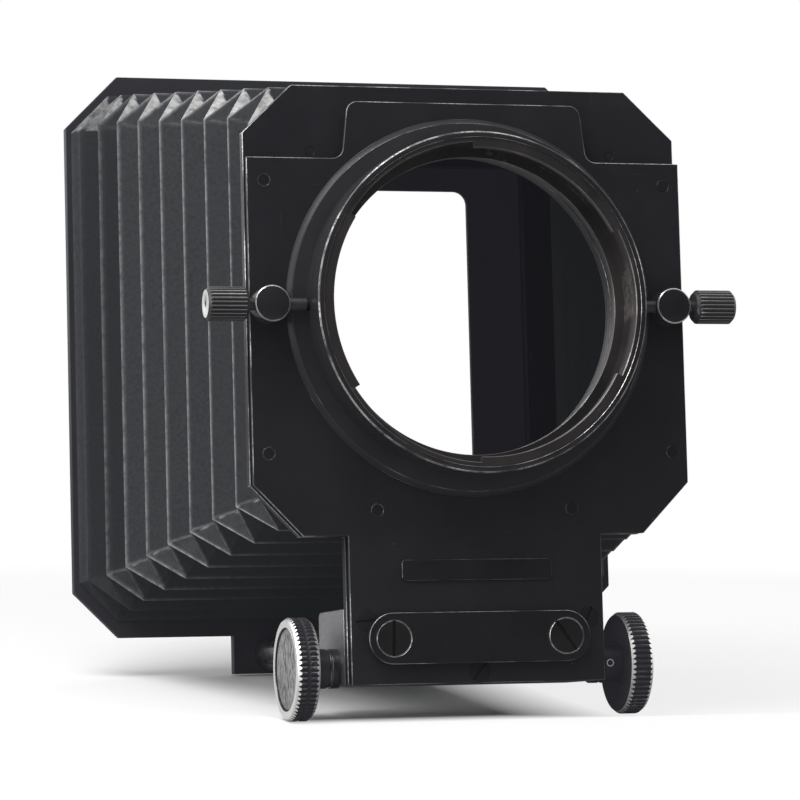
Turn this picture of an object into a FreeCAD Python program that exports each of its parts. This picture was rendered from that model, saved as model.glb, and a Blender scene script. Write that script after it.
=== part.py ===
import FreeCAD, Part
import os
import Sketcher

# A bellows unit for a camera lens: a front standard with a bayonet collar and a filter slot,
# a tapered bellows, and a rear frame carried on two racked rods that a knob shaft drives.
# X is to the right as seen from the lens, Y runs along the optical axis away from the lens,
# Z is up. The origin is where the optical axis meets the front face of the cover plate.

V = FreeCAD.Vector
document = FreeCAD.newDocument("bellows_unit")
sheet = document.addObject("Spreadsheet::Sheet", "Sizes")

# Driving dimensions in millimetres, and counts. "drop" is a distance below the optical axis.
SIZES = {
    # outline of the front standard, measured outwards from the collar's flange and the posts,
    # and its neck, measured from the rods and the knob shaft
    "plate_margin": 4.3,
    "shoulder_height": 36.0,
    "tab_half_width": 31.1,
    "tab_slope": 1.6,
    "tab_margin": 3.9,
    "tab_radius": 2.8,
    "crown_rise": 4.3,
    "crown_chamfer": 12.4,
    "crown_chamfer_height": 11.9,
    "belly_margin": 9.2,
    "belly_chamfer": 12.0,
    "belly_chamfer_height": 12.4,
    "neck_margin": 10.2,
    "neck_foot": 4.3,
    # its three layers, front to back, and the filter slot between the outer two
    "cover_thickness": 1.2,
    "slot_gap": 2.4,
    "back_thickness": 2.6,
    "spacer_inset": 0.6,
    "filter_margin": 0.7,
    "filter_foot_margin": 1.1,
    "light_bore_margin": 1.3,
    # lens collar and the bayonet ring that turns in it
    "flange_margin": 4.8,
    "flange_height": 1.6,
    "flange_chamfer": 1.2,
    "collar_radius": 41.3,
    "collar_wall": 1.5,
    "collar_height": 12.5,
    "collar_rim_chamfer": 0.3,
    "ring_groove_depth": 0.8,
    "ring_groove_width": 3.5,
    "ring_clearance": 0.05,
    "ring_setback": 0.3,
    "ring_wall": 1.1,
    "ring_floor_reach": 2.45,
    "ring_floor_thickness": 1.4,
    "lug_reach": 1.35,
    "lug_thickness": 1.8,
    "lug_angle": 65.0,
    "lug_count": 3,
    # thumbscrews and the posts they pass through
    "post_radius": 4.4,
    "post_cover": 2.65,
    "post_gap": 0.2,
    "post_spigot_radius": 2.5,
    "post_rim": 0.3,
    "clamp_screw_radius": 1.5,
    "clamp_screw_clearance": 0.05,
    "clamp_head_radius": 4.15,
    "clamp_head_length": 10.1,
    "clamp_head_chamfer": 0.8,
    "clamp_head_gap": 1.4,
    "dimple_radius": 0.8,
    "dimple_depth": 0.5,
    "pad_radius": 1.4,
    "pad_length": 1.2,
    "pad_gap": 0.3,
    # rivets, screws and nameplate of the front standard
    "rivet_radius": 1.5,
    "rivet_high_inset": 4.2,
    "rivet_high_depth": 5.5,
    "rivet_low_inset": 3.9,
    "rivet_low_rise": 7.6,
    "rivet_foot_inset": 7.3,
    "rivet_foot_rise": 6.2,
    "neck_screw_offset": 6.2,
    "neck_screw_rise": 4.4,
    "neck_screw_fall": 8.1,
    "neck_screw_head_radius": 2.7,
    "neck_screw_head_height": 1.0,
    "neck_screw_radius": 1.25,
    "neck_screw_length": 9.0,
    "small_head_radius": 1.9,
    "small_head_height": 1.0,
    "small_screw_radius": 1.0,
    "collar_screw_across_share": 0.894,
    "collar_screw_up_share": 0.325,
    "collar_screw_grip": 1.1,
    "slot_width": 0.6,
    "slot_depth": 0.5,
    "nameplate_half_length": 18.9,
    "nameplate_height": 5.0,
    "nameplate_thickness": 0.5,
    "nameplate_radius": 0.8,
    "nameplate_fall": 8.4,
    # rods, racks and the housing they slide in
    "rod_radius": 4.5,
    "rod_spacing": 21.7,
    "rod_gap": 12.9,
    "rod_clearance": 0.05,
    "rod_plate_clearance": 0.15,
    "housing_depth": 23.3,
    "housing_wall": 3.0,
    "housing_edge_radius": 1.6,
    "gear_module": 0.6,
    "pinion_teeth": 10,
    "pinion_width": 5.0,
    "pinion_room": 0.5,
    "tooth_clearance": 0.07,
    "tooth_slope": 0.364,
    "rack_teeth": 52,
    "rack_lead": 3.5,
    # shares of the gear module: pitch, half tooth, rise and depth from the pitch line, taper
    "pitch_share": 3.1416,
    "half_tooth_share": 0.7854,
    "tooth_rise_share": 0.9,
    "pinion_depth_share": 1.25,
    "rack_depth_share": 1.15,
    "root_flare_share": 0.25,
    "tip_taper_share": 0.45,
    "rack_line_share": 1.5,
    # knob shaft
    "shaft_radius": 1.5,
    "shaft_clearance": 0.05,
    "shaft_inset": 6.8,
    "bush_radius": 4.8,
    "bush_length": 2.4,
    "bush_spigot_radius": 3.0,
    "bush_spigot_length": 4.6,
    "washer_thickness": 0.5,
    "washer_room": 0.1,
    "hub_length": 4.4,
    "knob_radius": 12.5,
    "knob_width": 5.6,
    "knob_chamfer": 0.6,
    "knob_groove_depth": 0.35,
    "knob_groove_width": 0.5,
    "knob_rim": 2.5,
    "knob_disc_depth": 0.8,
    "knob_disc_thickness": 0.7,
    "shaft_end_setback": 1.6,
    "set_screw_radius": 0.95,
    "set_screw_inset": 1.3,
    # end cap of the rods
    "cap_rim": 1.8,
    "cap_thickness": 1.8,
    "cap_head_radius": 4.35,
    "cap_head_height": 1.0,
    "cap_screw_radius": 1.5,
    "cap_screw_length": 9.0,
    "cap_slot_width": 0.8,
    # rear frame, its leg and the mask plate behind it
    "frame_setback": 118.0,
    "frame_margin": 7.9,
    "frame_top_rise": 0.8,
    "frame_chamfer": 14.2,
    "frame_foot_chamfer": 12.0,
    "frame_thickness": 3.0,
    "leg_margin": 5.2,
    "mask_inset": 9.5,
    "mask_thickness": 1.5,
    "mask_window_half_width": 37.9,
    "mask_window_half_height": 46.6,
    "mask_window_radius": 3.7,
    "mask_screw_inset": 4.7,
    "rod_screw_head_radius": 3.2,
    "rod_screw_head_height": 1.8,
    # bellows and the frames that clamp its ends
    "pleat_inset": 2.6,
    "pleat_rear_half": 67.1,
    "pleat_depth": 8.0,
    "pleat_corner": 7.5,
    "pleat_valley_corner": 9.0,
    "pleat_first_ridge": 14.7,
    "pleat_count": 6,
    "pleat_gathers": 4,
    "pleat_gather_share": 0.3327,
    "pleat_side_extra": 0.9,
    "pleat_side_flare": 5.6,
    "pleat_flare": 3.4,
    "pleat_corner_flare": 2.7,
    "pleat_skin": 0.6,
    "pleat_clearance": 0.3,
    "clamp_frame_width": 5.0,
    "clamp_frame_thickness": 1.2,
    "clamp_frame_corner": 6.0,
}

for row, (word, size) in enumerate(SIZES.items(), start=1):
    sheet.set("A%d" % row, word.replace("_", " "))
    sheet.set("B%d" % row, str(size))
    sheet.setAlias("B%d" % row, word)
document.recompute()

# Places that several pieces share, as formulas of the driving dimensions. They start at the
# collar, because everything in front is built round the lens, and at the bellows' rear end.
COLLAR_BORE = "collar_radius - collar_wall"
GROOVE_RADIUS = COLLAR_BORE + " + ring_groove_depth"
RING_RADIUS = COLLAR_BORE + " - ring_clearance"
RING_FLANGE_RADIUS = GROOVE_RADIUS + " - ring_clearance * 2"
RING_INNER = RING_RADIUS + " - ring_wall"
RING_FLOOR = RING_INNER + " - ring_floor_reach"
LUG_RADIUS = RING_INNER + " - lug_reach"
LIGHT_BORE = RING_FLOOR + " + light_bore_margin"
FLANGE_RADIUS = "collar_radius + flange_margin"
POST_SPACING = FLANGE_RADIUS + " + post_gap + post_radius"
CLAMP_LIFT = "flange_height + ring_groove_width / 2"
POST_HEIGHT = CLAMP_LIFT + " + post_cover"
PAD_TIP = RING_FLANGE_RADIUS + " + pad_gap"
SCREW_TIP = PAD_TIP + " + pad_length"
CLAMP_HEAD = POST_SPACING + " + post_radius + clamp_head_gap"
PLATE_HALF = POST_SPACING + " + plate_margin"
TAB_HEIGHT = FLANGE_RADIUS + " + tab_margin"
CROWN_HEIGHT = TAB_HEIGHT + " + crown_rise"
CROWN_HALF = PLATE_HALF + " - crown_chamfer"
BELLY_DROP = FLANGE_RADIUS + " + belly_margin"
BELLY_HALF = PLATE_HALF + " - belly_chamfer"
FLANK_DROP = BELLY_DROP + " - belly_chamfer_height"
COVER_BACK = "cover_thickness"
SPACER_BACK = COVER_BACK + " + slot_gap"
STACK_BACK = SPACER_BACK + " + back_thickness"
FRAME_BACK = "frame_setback + frame_thickness"
MASK_BACK = FRAME_BACK + " + mask_thickness"
FRAME_HALF = "pleat_rear_half + frame_margin"
MASK_HALF = FRAME_HALF + " - mask_inset"
MASK_SCREW = MASK_HALF + " - mask_screw_inset"
PLEAT_FRONT_HALF = PLATE_HALF + " - pleat_inset"
ROD_DROP = "pleat_rear_half + rod_gap"
CAP_END_RADIUS = "cap_head_radius + cap_rim"
PITCH_RADIUS = "gear_module * pinion_teeth / 2"
TIP_RADIUS = PITCH_RADIUS + " + gear_module * tooth_rise_share"
ROOT_RADIUS = PITCH_RADIUS + " - gear_module * pinion_depth_share"
RACK_LINE = "gear_module * rack_line_share - rod_radius"
RACK_PITCH = "gear_module * pitch_share"
SHAFT_DROP = ROD_DROP + " + rod_radius - gear_module * rack_line_share + " + PITCH_RADIUS
SHAFT_SETBACK = STACK_BACK + " + shaft_inset"
NECK_HALF = "rod_spacing + neck_margin"
NECK_DROP = SHAFT_DROP + " + neck_foot"
BUSH_END = NECK_HALF + " + bush_length"
HUB_START = BUSH_END + " + washer_thickness + washer_room"
KNOB_INNER = HUB_START + " + hub_length"
KNOB_OUTER = KNOB_INNER + " + knob_width"
KNOB_DISC_RADIUS = "knob_radius - knob_rim"
ALONG_Y = FreeCAD.Rotation(V(1, 0, 0), -90)
AGAINST_Y = FreeCAD.Rotation(V(1, 0, 0), 90)
ALONG_X = FreeCAD.Rotation(V(0, 1, 0), 90)
HALF_TURN = FreeCAD.Rotation(V(0, 0, 1), 180)
UNTURNED = FreeCAD.Rotation()
SIDES = {"left": -1, "right": 1}

nodes = {}


def number(formula):
    """The value of a formula: sheet names and numbers joined by spaced + - * and / signs."""
    total = 0.0
    term = 1.0
    sign = "+"
    for word in formula.split():
        if word in ("+", "-", "*", "/"):
            if word in ("+", "-"):
                total += term
                term = 1.0
            sign = word
            continue
        bare = word.lstrip("-")
        value = float(sheet.get(bare)) if bare in SIZES else float(bare)
        value = -value if word.startswith("-") else value
        if sign == "/":
            term /= value
        elif sign == "-":
            term = -value
        else:
            term *= value
    return total + term


def linked(formula):
    """The same formula as an expression that reads the spreadsheet."""
    words = []
    for word in formula.split():
        bare = word.lstrip("-")
        words.append(word.replace(bare, "Sizes." + bare) if bare in SIZES else word)
    return " ".join(words)


def negative(formula):
    """The formula with every term's sign turned round."""
    flipped = formula.replace(" + ", " ~ ").replace(" - ", " + ").replace(" ~ ", " - ")
    return flipped[1:] if flipped.startswith("-") else "-" + flipped


def bind(thing, **formulas):
    """Binds properties of a document object to formulas of the driving dimensions."""
    for name, formula in formulas.items():
        setattr(thing, name, number(formula))
        thing.setExpression(name, linked(formula))


def place(thing, x="0", y="0", z="0", turn=UNTURNED):
    """Gives an object its Placement, with the position bound to formulas."""
    thing.Placement = FreeCAD.Placement(V(number(x), number(y), number(z)), turn)
    for axis, formula in (("x", x), ("y", y), ("z", z)):
        if formula != "0":
            thing.setExpression("Placement.Base." + axis, linked(formula))


def node(label, thing):
    """Registers a finished sub-part under the name of its file."""
    thing.Label = label
    nodes[label] = thing
    return thing


# ---- sketches and features of PartDesign bodies


def new_body(label):
    body = document.addObject("PartDesign::Body", label)
    body.Label = label
    return body


def new_sketch(body, role, name, offset="0"):
    """A sketch on one of the body's own origin planes, shifted along the plane's normal."""
    sketch = body.newObject("Sketcher::SketchObject", name)
    plane = next(item for item in body.Origin.OriginFeatures if item.Role == role)
    sketch.AttachmentSupport = [(plane, "")]
    sketch.MapMode = "FlatFace"
    if offset != "0":
        sketch.AttachmentOffset = FreeCAD.Placement(V(0, 0, number(offset)), UNTURNED)
        sketch.setExpression("AttachmentOffset.Base.z", linked(offset))
    return sketch


def dimension(sketch, kind, formula, *where):
    """A driving constraint bound to a formula."""
    index = sketch.addConstraint(Sketcher.Constraint(kind, *where, number(formula)))
    sketch.setExpression("Constraints[%d]" % index, linked(formula))


def pin_point(sketch, piece, point, x, y):
    """Fixes a point of the sketch at two formulas, or on an axis where a formula is 0."""
    if x == "0":
        sketch.addConstraint(Sketcher.Constraint("PointOnObject", piece, point, -2))
    else:
        dimension(sketch, "DistanceX", x, -1, 1, piece, point)
    if y == "0":
        sketch.addConstraint(Sketcher.Constraint("PointOnObject", piece, point, -1))
    else:
        dimension(sketch, "DistanceY", y, -1, 1, piece, point)


def draw_circle(sketch, x, y, radius):
    circle = Part.Circle(V(number(x), number(y), 0), V(0, 0, 1), number(radius))
    piece = sketch.addGeometry(circle)
    dimension(sketch, "Radius", radius, piece)
    pin_point(sketch, piece, 3, x, y)


def draw_outline(sketch, corners):
    """A closed polygon through corners given as pairs of formulas."""
    spots = [V(number(x), number(y), 0) for x, y in corners]
    pieces = []
    for start, end in zip(spots, spots[1:] + spots[:1]):
        pieces.append(sketch.addGeometry(Part.LineSegment(start, end)))
    for first, second in zip(pieces, pieces[1:] + pieces[:1]):
        sketch.addConstraint(Sketcher.Constraint("Coincident", first, 2, second, 1))
    for piece, (x, y) in zip(pieces, corners):
        pin_point(sketch, piece, 1, x, y)


def mirrored(corners):
    """Right-hand corners followed by their mirror images, back up the left-hand side."""
    return corners + [(negative(x), y) for x, y in reversed(corners) if x != "0"]


def pad(body, sketch, length, backwards=False):
    feature = body.newObject("PartDesign::Pad", "Pad")
    feature.Profile = sketch
    bind(feature, Length=length)
    feature.Reversed = backwards
    document.recompute()
    return feature


def pocket(body, sketch, length, along_normal=False, through_both=False):
    """A pocket, checked to remove material."""
    before = body.Shape.Volume
    feature = body.newObject("PartDesign::Pocket", "Pocket")
    feature.Profile = sketch
    bind(feature, Length=length)
    feature.Reversed = along_normal
    feature.Midplane = through_both
    document.recompute()
    if body.Shape.Volume > before - 1e-6:
        raise RuntimeError("a pocket in %s removes nothing" % body.Label)
    return feature


def turned(body, corners):
    """A revolution about the body's X axis of corners given as (along the axis, radius)."""
    sketch = new_sketch(body, "XY_Plane", "HalfSection")
    draw_outline(sketch, corners)
    feature = body.newObject("PartDesign::Revolution", "Revolution")
    feature.Profile = sketch
    feature.ReferenceAxis = (sketch, ["H_Axis"])
    feature.Angle = 360
    document.recompute()
    return feature


def ring(body, corners):
    """A revolution about the optical axis of corners given as (radius, along the axis)."""
    sketch = new_sketch(body, "XY_Plane", "HalfSection")
    draw_outline(sketch, corners)
    feature = body.newObject("PartDesign::Revolution", "Revolution")
    feature.Profile = sketch
    feature.ReferenceAxis = (sketch, ["V_Axis"])
    feature.Angle = 360
    document.recompute()
    return feature


def round_edges(body, spots, radius, across="xz"):
    """Rounds the edges that run square to a plane through the given pairs of formulas."""
    base = body.Tip
    names = []
    for index, edge in enumerate(body.Shape.Edges, start=1):
        ends = [vertex.Point for vertex in edge.Vertexes]
        for spot in spots:
            misses = [
                abs(getattr(end, axis) - number(formula))
                for end in ends
                for axis, formula in zip(across, spot)
            ]
            if len(ends) == 2 and max(misses) < 1e-4:
                names.append("Edge%d" % index)
    feature = body.newObject("PartDesign::Fillet", "Fillet")
    feature.Base = (base, names)
    bind(feature, Radius=radius)
    document.recompute()
    return feature


def plate(label, corners, front, thickness, holes):
    """A flat plate square to the optical axis, with round holes given as (x, z, radius)."""
    body = new_body(label)
    sketch = new_sketch(body, "XZ_Plane", "Outline", negative(front))
    draw_outline(sketch, corners)
    for x, z, radius in holes:
        draw_circle(sketch, x, z, radius)
    pad(body, sketch, thickness, backwards=True)
    return node(label, body)


# ---- Part primitives


def cylinder(name, radius, length, x="0", y="0", z="0", turn=UNTURNED):
    solid = document.addObject("Part::Cylinder", name)
    bind(solid, Radius=radius, Height=length)
    place(solid, x, y, z, turn)
    return solid


def joined(name, *pieces):
    solid = document.addObject("Part::MultiFuse", name)
    solid.Shapes = list(pieces)
    return solid


def cut(name, base, tool):
    solid = document.addObject("Part::Cut", name)
    solid.Base = base
    solid.Tool = tool
    return solid


def screw(name, sizes, x, y, z, turn, slot_turn=0.0):
    """A slotted screw, its head's face at the given point and its shank along the turned Z."""
    head_radius, head_height, radius, length, width = sizes
    head = cylinder(name + "_head", head_radius, head_height)
    shank = cylinder(name + "_shank", radius, length)
    blade = document.addObject("Part::Box", name + "_slot")
    bind(blade, Length=head_radius + " * 2", Width=width, Height="slot_depth")
    place(blade, negative(head_radius), "-" + width + " / 2")
    whole = cut(name, joined(name + "_blank", head, shank), blade)
    place(whole, x, y, z, turn.multiply(FreeCAD.Rotation(V(0, 0, 1), slot_turn)))
    return whole


def group(label, members):
    """A node of several separate solids."""
    compound = document.addObject("Part::Compound", label)
    compound.Links = members
    return node(label, compound)


def four_corners(x, z):
    """The four points at plus and minus two formulas."""
    return [(x, z), (negative(x), z), (negative(x), negative(z)), (x, negative(z))]


# ---- front standard: cover plate, slot spacer and back plate



def both_sides(x, z):
    """A point and its mirror image on the other side of the optical axis."""
    return [(x, z), (negative(x), z)]


ROD_LINE = negative(ROD_DROP)
SHAFT_LINE = negative(SHAFT_DROP)
BELLY_LINE = negative(BELLY_DROP)
FLANK_LINE = negative(FLANK_DROP)
NECK_LINE = negative(NECK_DROP)
RIVETS = (
    both_sides(PLATE_HALF + " - rivet_high_inset", "shoulder_height - rivet_high_depth")
    + both_sides(PLATE_HALF + " - rivet_low_inset", FLANK_LINE + " + rivet_low_rise")
    + both_sides(NECK_HALF + " - rivet_foot_inset", BELLY_LINE + " + rivet_foot_rise")
)
NECK_SCREWS = both_sides("rod_spacing + neck_screw_offset", ROD_LINE + " + neck_screw_rise") + [
    ("0", ROD_LINE + " - neck_screw_fall")
]
COLLAR_SCREWS = four_corners(
    "collar_radius * collar_screw_across_share + flange_margin * collar_screw_across_share",
    "collar_radius * collar_screw_up_share + flange_margin * collar_screw_up_share",
)
POSTS = both_sides(POST_SPACING, "0")
RODS = both_sides("rod_spacing", ROD_LINE)
LOWER_OUTLINE = [
    (PLATE_HALF, FLANK_LINE),
    (BELLY_HALF, BELLY_LINE),
    (NECK_HALF, BELLY_LINE),
    (NECK_HALF, NECK_LINE),
]


def shared_holes():
    """Holes that pass straight through all three layers."""
    holes = [(x, z, "rivet_radius") for x, z in RIVETS]
    holes += [(x, z, "post_spigot_radius") for x, z in POSTS]
    holes += [(x, z, "small_screw_radius") for x, z in COLLAR_SCREWS]
    holes += [(x, z, "rod_radius + rod_plate_clearance") for x, z in RODS]
    holes += [(x, z, "neck_screw_radius") for x, z in NECK_SCREWS]
    return holes


def make_cover_plate():
    tab = [
        ("tab_half_width - tab_slope", TAB_HEIGHT),
        ("tab_half_width", "shoulder_height"),
        (PLATE_HALF, "shoulder_height"),
    ]
    holes = shared_holes() + [("0", "0", LIGHT_BORE)]
    cover = plate("cover_plate", mirrored(tab + LOWER_OUTLINE), "0", "cover_thickness", holes)
    seats = new_sketch(cover, "XZ_Plane", "ScrewSeats")
    for x, z in NECK_SCREWS:
        draw_circle(seats, x, z, "neck_screw_head_radius")
    pocket(cover, seats, "neck_screw_head_height")
    spots = both_sides("tab_half_width - tab_slope", TAB_HEIGHT)
    spots += both_sides("tab_half_width", "shoulder_height")
    round_edges(cover, spots, "tab_radius")


def make_slot_spacer():
    side = PLATE_HALF + " - spacer_inset"
    neck = NECK_HALF + " - spacer_inset"
    filter_half = LIGHT_BORE + " + filter_margin"
    filter_foot = negative(LIGHT_BORE) + " - filter_foot_margin"
    arms = [
        (filter_half, filter_foot),
        (filter_half, "shoulder_height"),
        (side, "shoulder_height"),
        (side, FLANK_LINE),
        (BELLY_HALF, BELLY_LINE + " + spacer_inset"),
        (neck, BELLY_LINE + " + spacer_inset"),
        (neck, NECK_LINE + " + spacer_inset"),
    ]
    plate("slot_spacer", mirrored(arms), COVER_BACK, "slot_gap", shared_holes())


def make_back_plate():
    crown = [
        (CROWN_HALF, CROWN_HEIGHT),
        (PLATE_HALF, CROWN_HEIGHT + " - crown_chamfer_height"),
    ]
    holes = shared_holes() + [("0", "0", LIGHT_BORE)]
    holes += [(x, z, "small_screw_radius") for x, z in front_clamp_spots()]
    back = plate("back_plate", mirrored(crown + LOWER_OUTLINE), SPACER_BACK, "back_thickness", holes)
    seats = new_sketch(back, "XZ_Plane", "ScrewSeats", negative(STACK_BACK))
    for x, z in COLLAR_SCREWS:
        draw_circle(seats, x, z, "small_head_radius")
    pocket(back, seats, "small_head_height", along_normal=True)


def make_rivets():
    rivets = []
    for index, (x, z) in enumerate(RIVETS):
        rivets.append(cylinder("rivet_%d" % index, "rivet_radius", STACK_BACK, x, "0", z, ALONG_Y))
    group("plate_rivets", rivets)


def make_neck_screws():
    sizes = (
        "neck_screw_head_radius",
        "neck_screw_head_height",
        "neck_screw_radius",
        "neck_screw_length",
        "slot_width",
    )
    slot_turns = (100.0, 15.0, 35.0)
    screws = []
    for index, (x, z) in enumerate(NECK_SCREWS):
        turn = slot_turns[index]
        screws.append(screw("neck_screw_%d" % index, sizes, x, "0", z, ALONG_Y, turn))
    group("neck_screws", screws)


def make_nameplate():
    middle = BELLY_LINE + " - nameplate_fall"
    top = middle + " + nameplate_height / 2"
    bottom = middle + " - nameplate_height / 2"
    corners = mirrored([("nameplate_half_length", top), ("nameplate_half_length", bottom)])
    name = plate("nameplate", corners, "-nameplate_thickness", "nameplate_thickness", [])
    round_edges(name, corners, "nameplate_radius")


# ---- lens collar


def make_collar_flange():
    body = new_body("collar_flange")
    profile = [
        (RING_FLOOR + " + ring_clearance * 4", "0"),
        (FLANGE_RADIUS, "0"),
        (FLANGE_RADIUS, "flange_chamfer - flange_height"),
        (FLANGE_RADIUS + " - flange_chamfer", "-flange_height"),
        (RING_FLOOR + " + ring_clearance * 4", "-flange_height"),
    ]
    ring(body, profile)
    threads = new_sketch(body, "XZ_Plane", "ScrewHoles")
    for x, z in COLLAR_SCREWS:
        draw_circle(threads, x, z, "small_screw_radius")
    pocket(body, threads, "collar_screw_grip", along_normal=True)
    node("collar_flange", body)


def make_lens_collar():
    """The barrel that stands on the flange, grooved inside for the bayonet ring's flange."""
    body = new_body("lens_collar")
    groove_top = "-flange_height - ring_groove_width"
    profile = [
        (GROOVE_RADIUS, "-flange_height"),
        ("collar_radius", "-flange_height"),
        ("collar_radius", "collar_rim_chamfer - collar_height"),
        ("collar_radius - collar_rim_chamfer", "-collar_height"),
        (COLLAR_BORE, "-collar_height"),
        (COLLAR_BORE, groove_top),
        (GROOVE_RADIUS, groove_top),
    ]
    ring(body, profile)
    crossbore = new_sketch(body, "YZ_Plane", "PadHoles")
    draw_circle(crossbore, negative(CLAMP_LIFT), "0", "pad_radius + clamp_screw_clearance")
    pocket(body, crossbore, "collar_radius * 2 + 1", through_both=True)
    node("lens_collar", body)


def make_bayonet_ring():
    """A ring with a floor and three inward lugs, free to turn in the collar."""
    body = new_body("bayonet_ring")
    front = "ring_setback - collar_height"
    back = "-flange_height - ring_clearance * 3"
    flange_front = "-flange_height - ring_groove_width + ring_clearance * 2"
    floor_front = "-flange_height - ring_clearance * 3 - ring_floor_thickness"
    profile = [
        (RING_FLOOR, back),
        (RING_FLANGE_RADIUS, back),
        (RING_FLANGE_RADIUS, flange_front),
        (RING_RADIUS, flange_front),
        (RING_RADIUS, front),
        (RING_INNER, front),
        (RING_INNER, floor_front),
        (RING_FLOOR, floor_front),
    ]
    ring(body, profile)
    lug_back = "ring_setback - collar_height + lug_thickness"
    section = new_sketch(body, "XY_Plane", "LugSection")
    lug = [
        (negative(LUG_RADIUS), front),
        (negative(RING_INNER + " + ring_wall / 2"), front),
        (negative(RING_INNER + " + ring_wall / 2"), lug_back),
        (negative(LUG_RADIUS), lug_back),
    ]
    draw_outline(section, lug)
    lug_feature = body.newObject("PartDesign::Revolution", "Lug")
    lug_feature.Profile = section
    lug_feature.ReferenceAxis = (section, ["V_Axis"])
    bind(lug_feature, Angle="lug_angle")
    lug_feature.Midplane = True
    document.recompute()
    pattern = body.newObject("PartDesign::PolarPattern", "Lugs")
    pattern.Originals = [lug_feature]
    pattern.Axis = (section, ["V_Axis"])
    pattern.Angle = 360
    pattern.Occurrences = int(number("lug_count"))
    pattern.setExpression("Occurrences", linked("lug_count"))
    body.Tip = pattern
    document.recompute()
    node("bayonet_ring", body)


def make_collar_screws():
    length = STACK_BACK + " + collar_screw_grip"
    sizes = ("small_head_radius", "small_head_height", "small_screw_radius", length, "slot_width")
    screws = []
    for index, (x, z) in enumerate(COLLAR_SCREWS):
        screws.append(screw("collar_screw_%d" % index, sizes, x, STACK_BACK, z, AGAINST_Y, 45.0))
    group("collar_screws", screws)


# ---- thumbscrews that clamp the bayonet ring


def make_clamp_post(side):
    """A round post riveted through the three layers, cross-drilled for the thumbscrew."""
    label = "clamp_post_" + side
    body = new_body(label)
    profile = [
        ("0", "0"),
        ("post_radius - post_rim", "0"),
        ("post_radius", "post_rim"),
        ("post_radius", POST_HEIGHT),
        ("post_spigot_radius", POST_HEIGHT),
        ("post_spigot_radius", POST_HEIGHT + " + " + STACK_BACK),
        ("0", POST_HEIGHT + " + " + STACK_BACK),
    ]
    ring(body, profile)
    crossbore = new_sketch(body, "YZ_Plane", "ScrewHole")
    draw_circle(crossbore, "post_cover", "0", "clamp_screw_radius + clamp_screw_clearance")
    pocket(body, crossbore, "post_radius * 2 + 1", through_both=True)
    x = POST_SPACING if SIDES[side] > 0 else negative(POST_SPACING)
    place(body, x, negative(POST_HEIGHT), "0")
    node(label, body)


def make_thumbscrew(side):
    label = "thumbscrew_" + side
    body = new_body(label)
    head = CLAMP_HEAD
    end = CLAMP_HEAD + " + clamp_head_length"
    profile = [
        (SCREW_TIP, "0"),
        (SCREW_TIP, "clamp_screw_radius"),
        (head, "clamp_screw_radius"),
        (head, "clamp_head_radius - clamp_head_chamfer"),
        (head + " + clamp_head_chamfer", "clamp_head_radius"),
        (end + " - clamp_head_chamfer", "clamp_head_radius"),
        (end, "clamp_head_radius - clamp_head_chamfer"),
        (end, "dimple_radius"),
        (end + " - dimple_depth", "0"),
    ]
    turned(body, profile)
    place(body, "0", negative(CLAMP_LIFT), "0", UNTURNED if SIDES[side] > 0 else HALF_TURN)
    node(label, body)


def make_pressure_pad(side):
    """The plastic tip between the thumbscrew and the bayonet ring."""
    pad_start = PAD_TIP if SIDES[side] > 0 else negative(SCREW_TIP)
    tip = cylinder(
        "pressure_pad_" + side,
        "pad_radius",
        "pad_length",
        pad_start,
        negative(CLAMP_LIFT),
        "0",
        ALONG_X,
    )
    node("pressure_pad_" + side, tip)


# ---- rack housing behind the neck


def make_rack_housing():
    body = new_body("rack_housing")
    block = new_sketch(body, "XZ_Plane", "Block", negative(STACK_BACK))
    top = ROD_LINE + " + rod_radius + housing_wall"
    draw_outline(block, mirrored([(NECK_HALF, top), (NECK_HALF, NECK_LINE)]))
    for x, z in RODS:
        draw_circle(block, x, z, "rod_radius + rod_clearance")
    pad(body, block, "housing_depth", backwards=True)
    rear_top = (STACK_BACK + " + housing_depth", top)
    round_edges(body, [rear_top], "housing_edge_radius", across="yz")
    threads = new_sketch(body, "XZ_Plane", "NeckScrewHoles", negative(STACK_BACK))
    for x, z in NECK_SCREWS:
        draw_circle(threads, x, z, "neck_screw_radius")
    pocket(body, threads, "neck_screw_length + " + negative(STACK_BACK))
    bore = new_sketch(body, "YZ_Plane", "ShaftBore")
    draw_circle(bore, SHAFT_SETBACK, SHAFT_LINE, "shaft_radius + shaft_clearance * 4")
    pocket(body, bore, "rod_spacing * 2 + neck_margin * 2 + 1", through_both=True)
    for side in SIDES.values():
        seat_start = NECK_HALF + " - bush_spigot_length"
        offset = seat_start if side > 0 else negative(seat_start)
        seat = new_sketch(body, "YZ_Plane", "BushSeat", offset)
        draw_circle(seat, SHAFT_SETBACK, SHAFT_LINE, "bush_spigot_radius")
        pocket(body, seat, "bush_spigot_length", along_normal=side > 0)
        middle = "rod_spacing" if side > 0 else "-rod_spacing"
        room = new_sketch(body, "YZ_Plane", "PinionRoom", middle)
        reach = TIP_RADIUS + " + pinion_room"
        front, rear = SHAFT_SETBACK + " + " + negative(reach), SHAFT_SETBACK + " + " + reach
        ceiling, below = SHAFT_LINE + " + " + reach, NECK_LINE + " - pinion_room"
        walls = [(front, ceiling), (rear, ceiling), (rear, below), (front, below)]
        draw_outline(room, walls)
        pocket(body, room, "pinion_width + pinion_room * 2", through_both=True)
    node("rack_housing", body)


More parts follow.
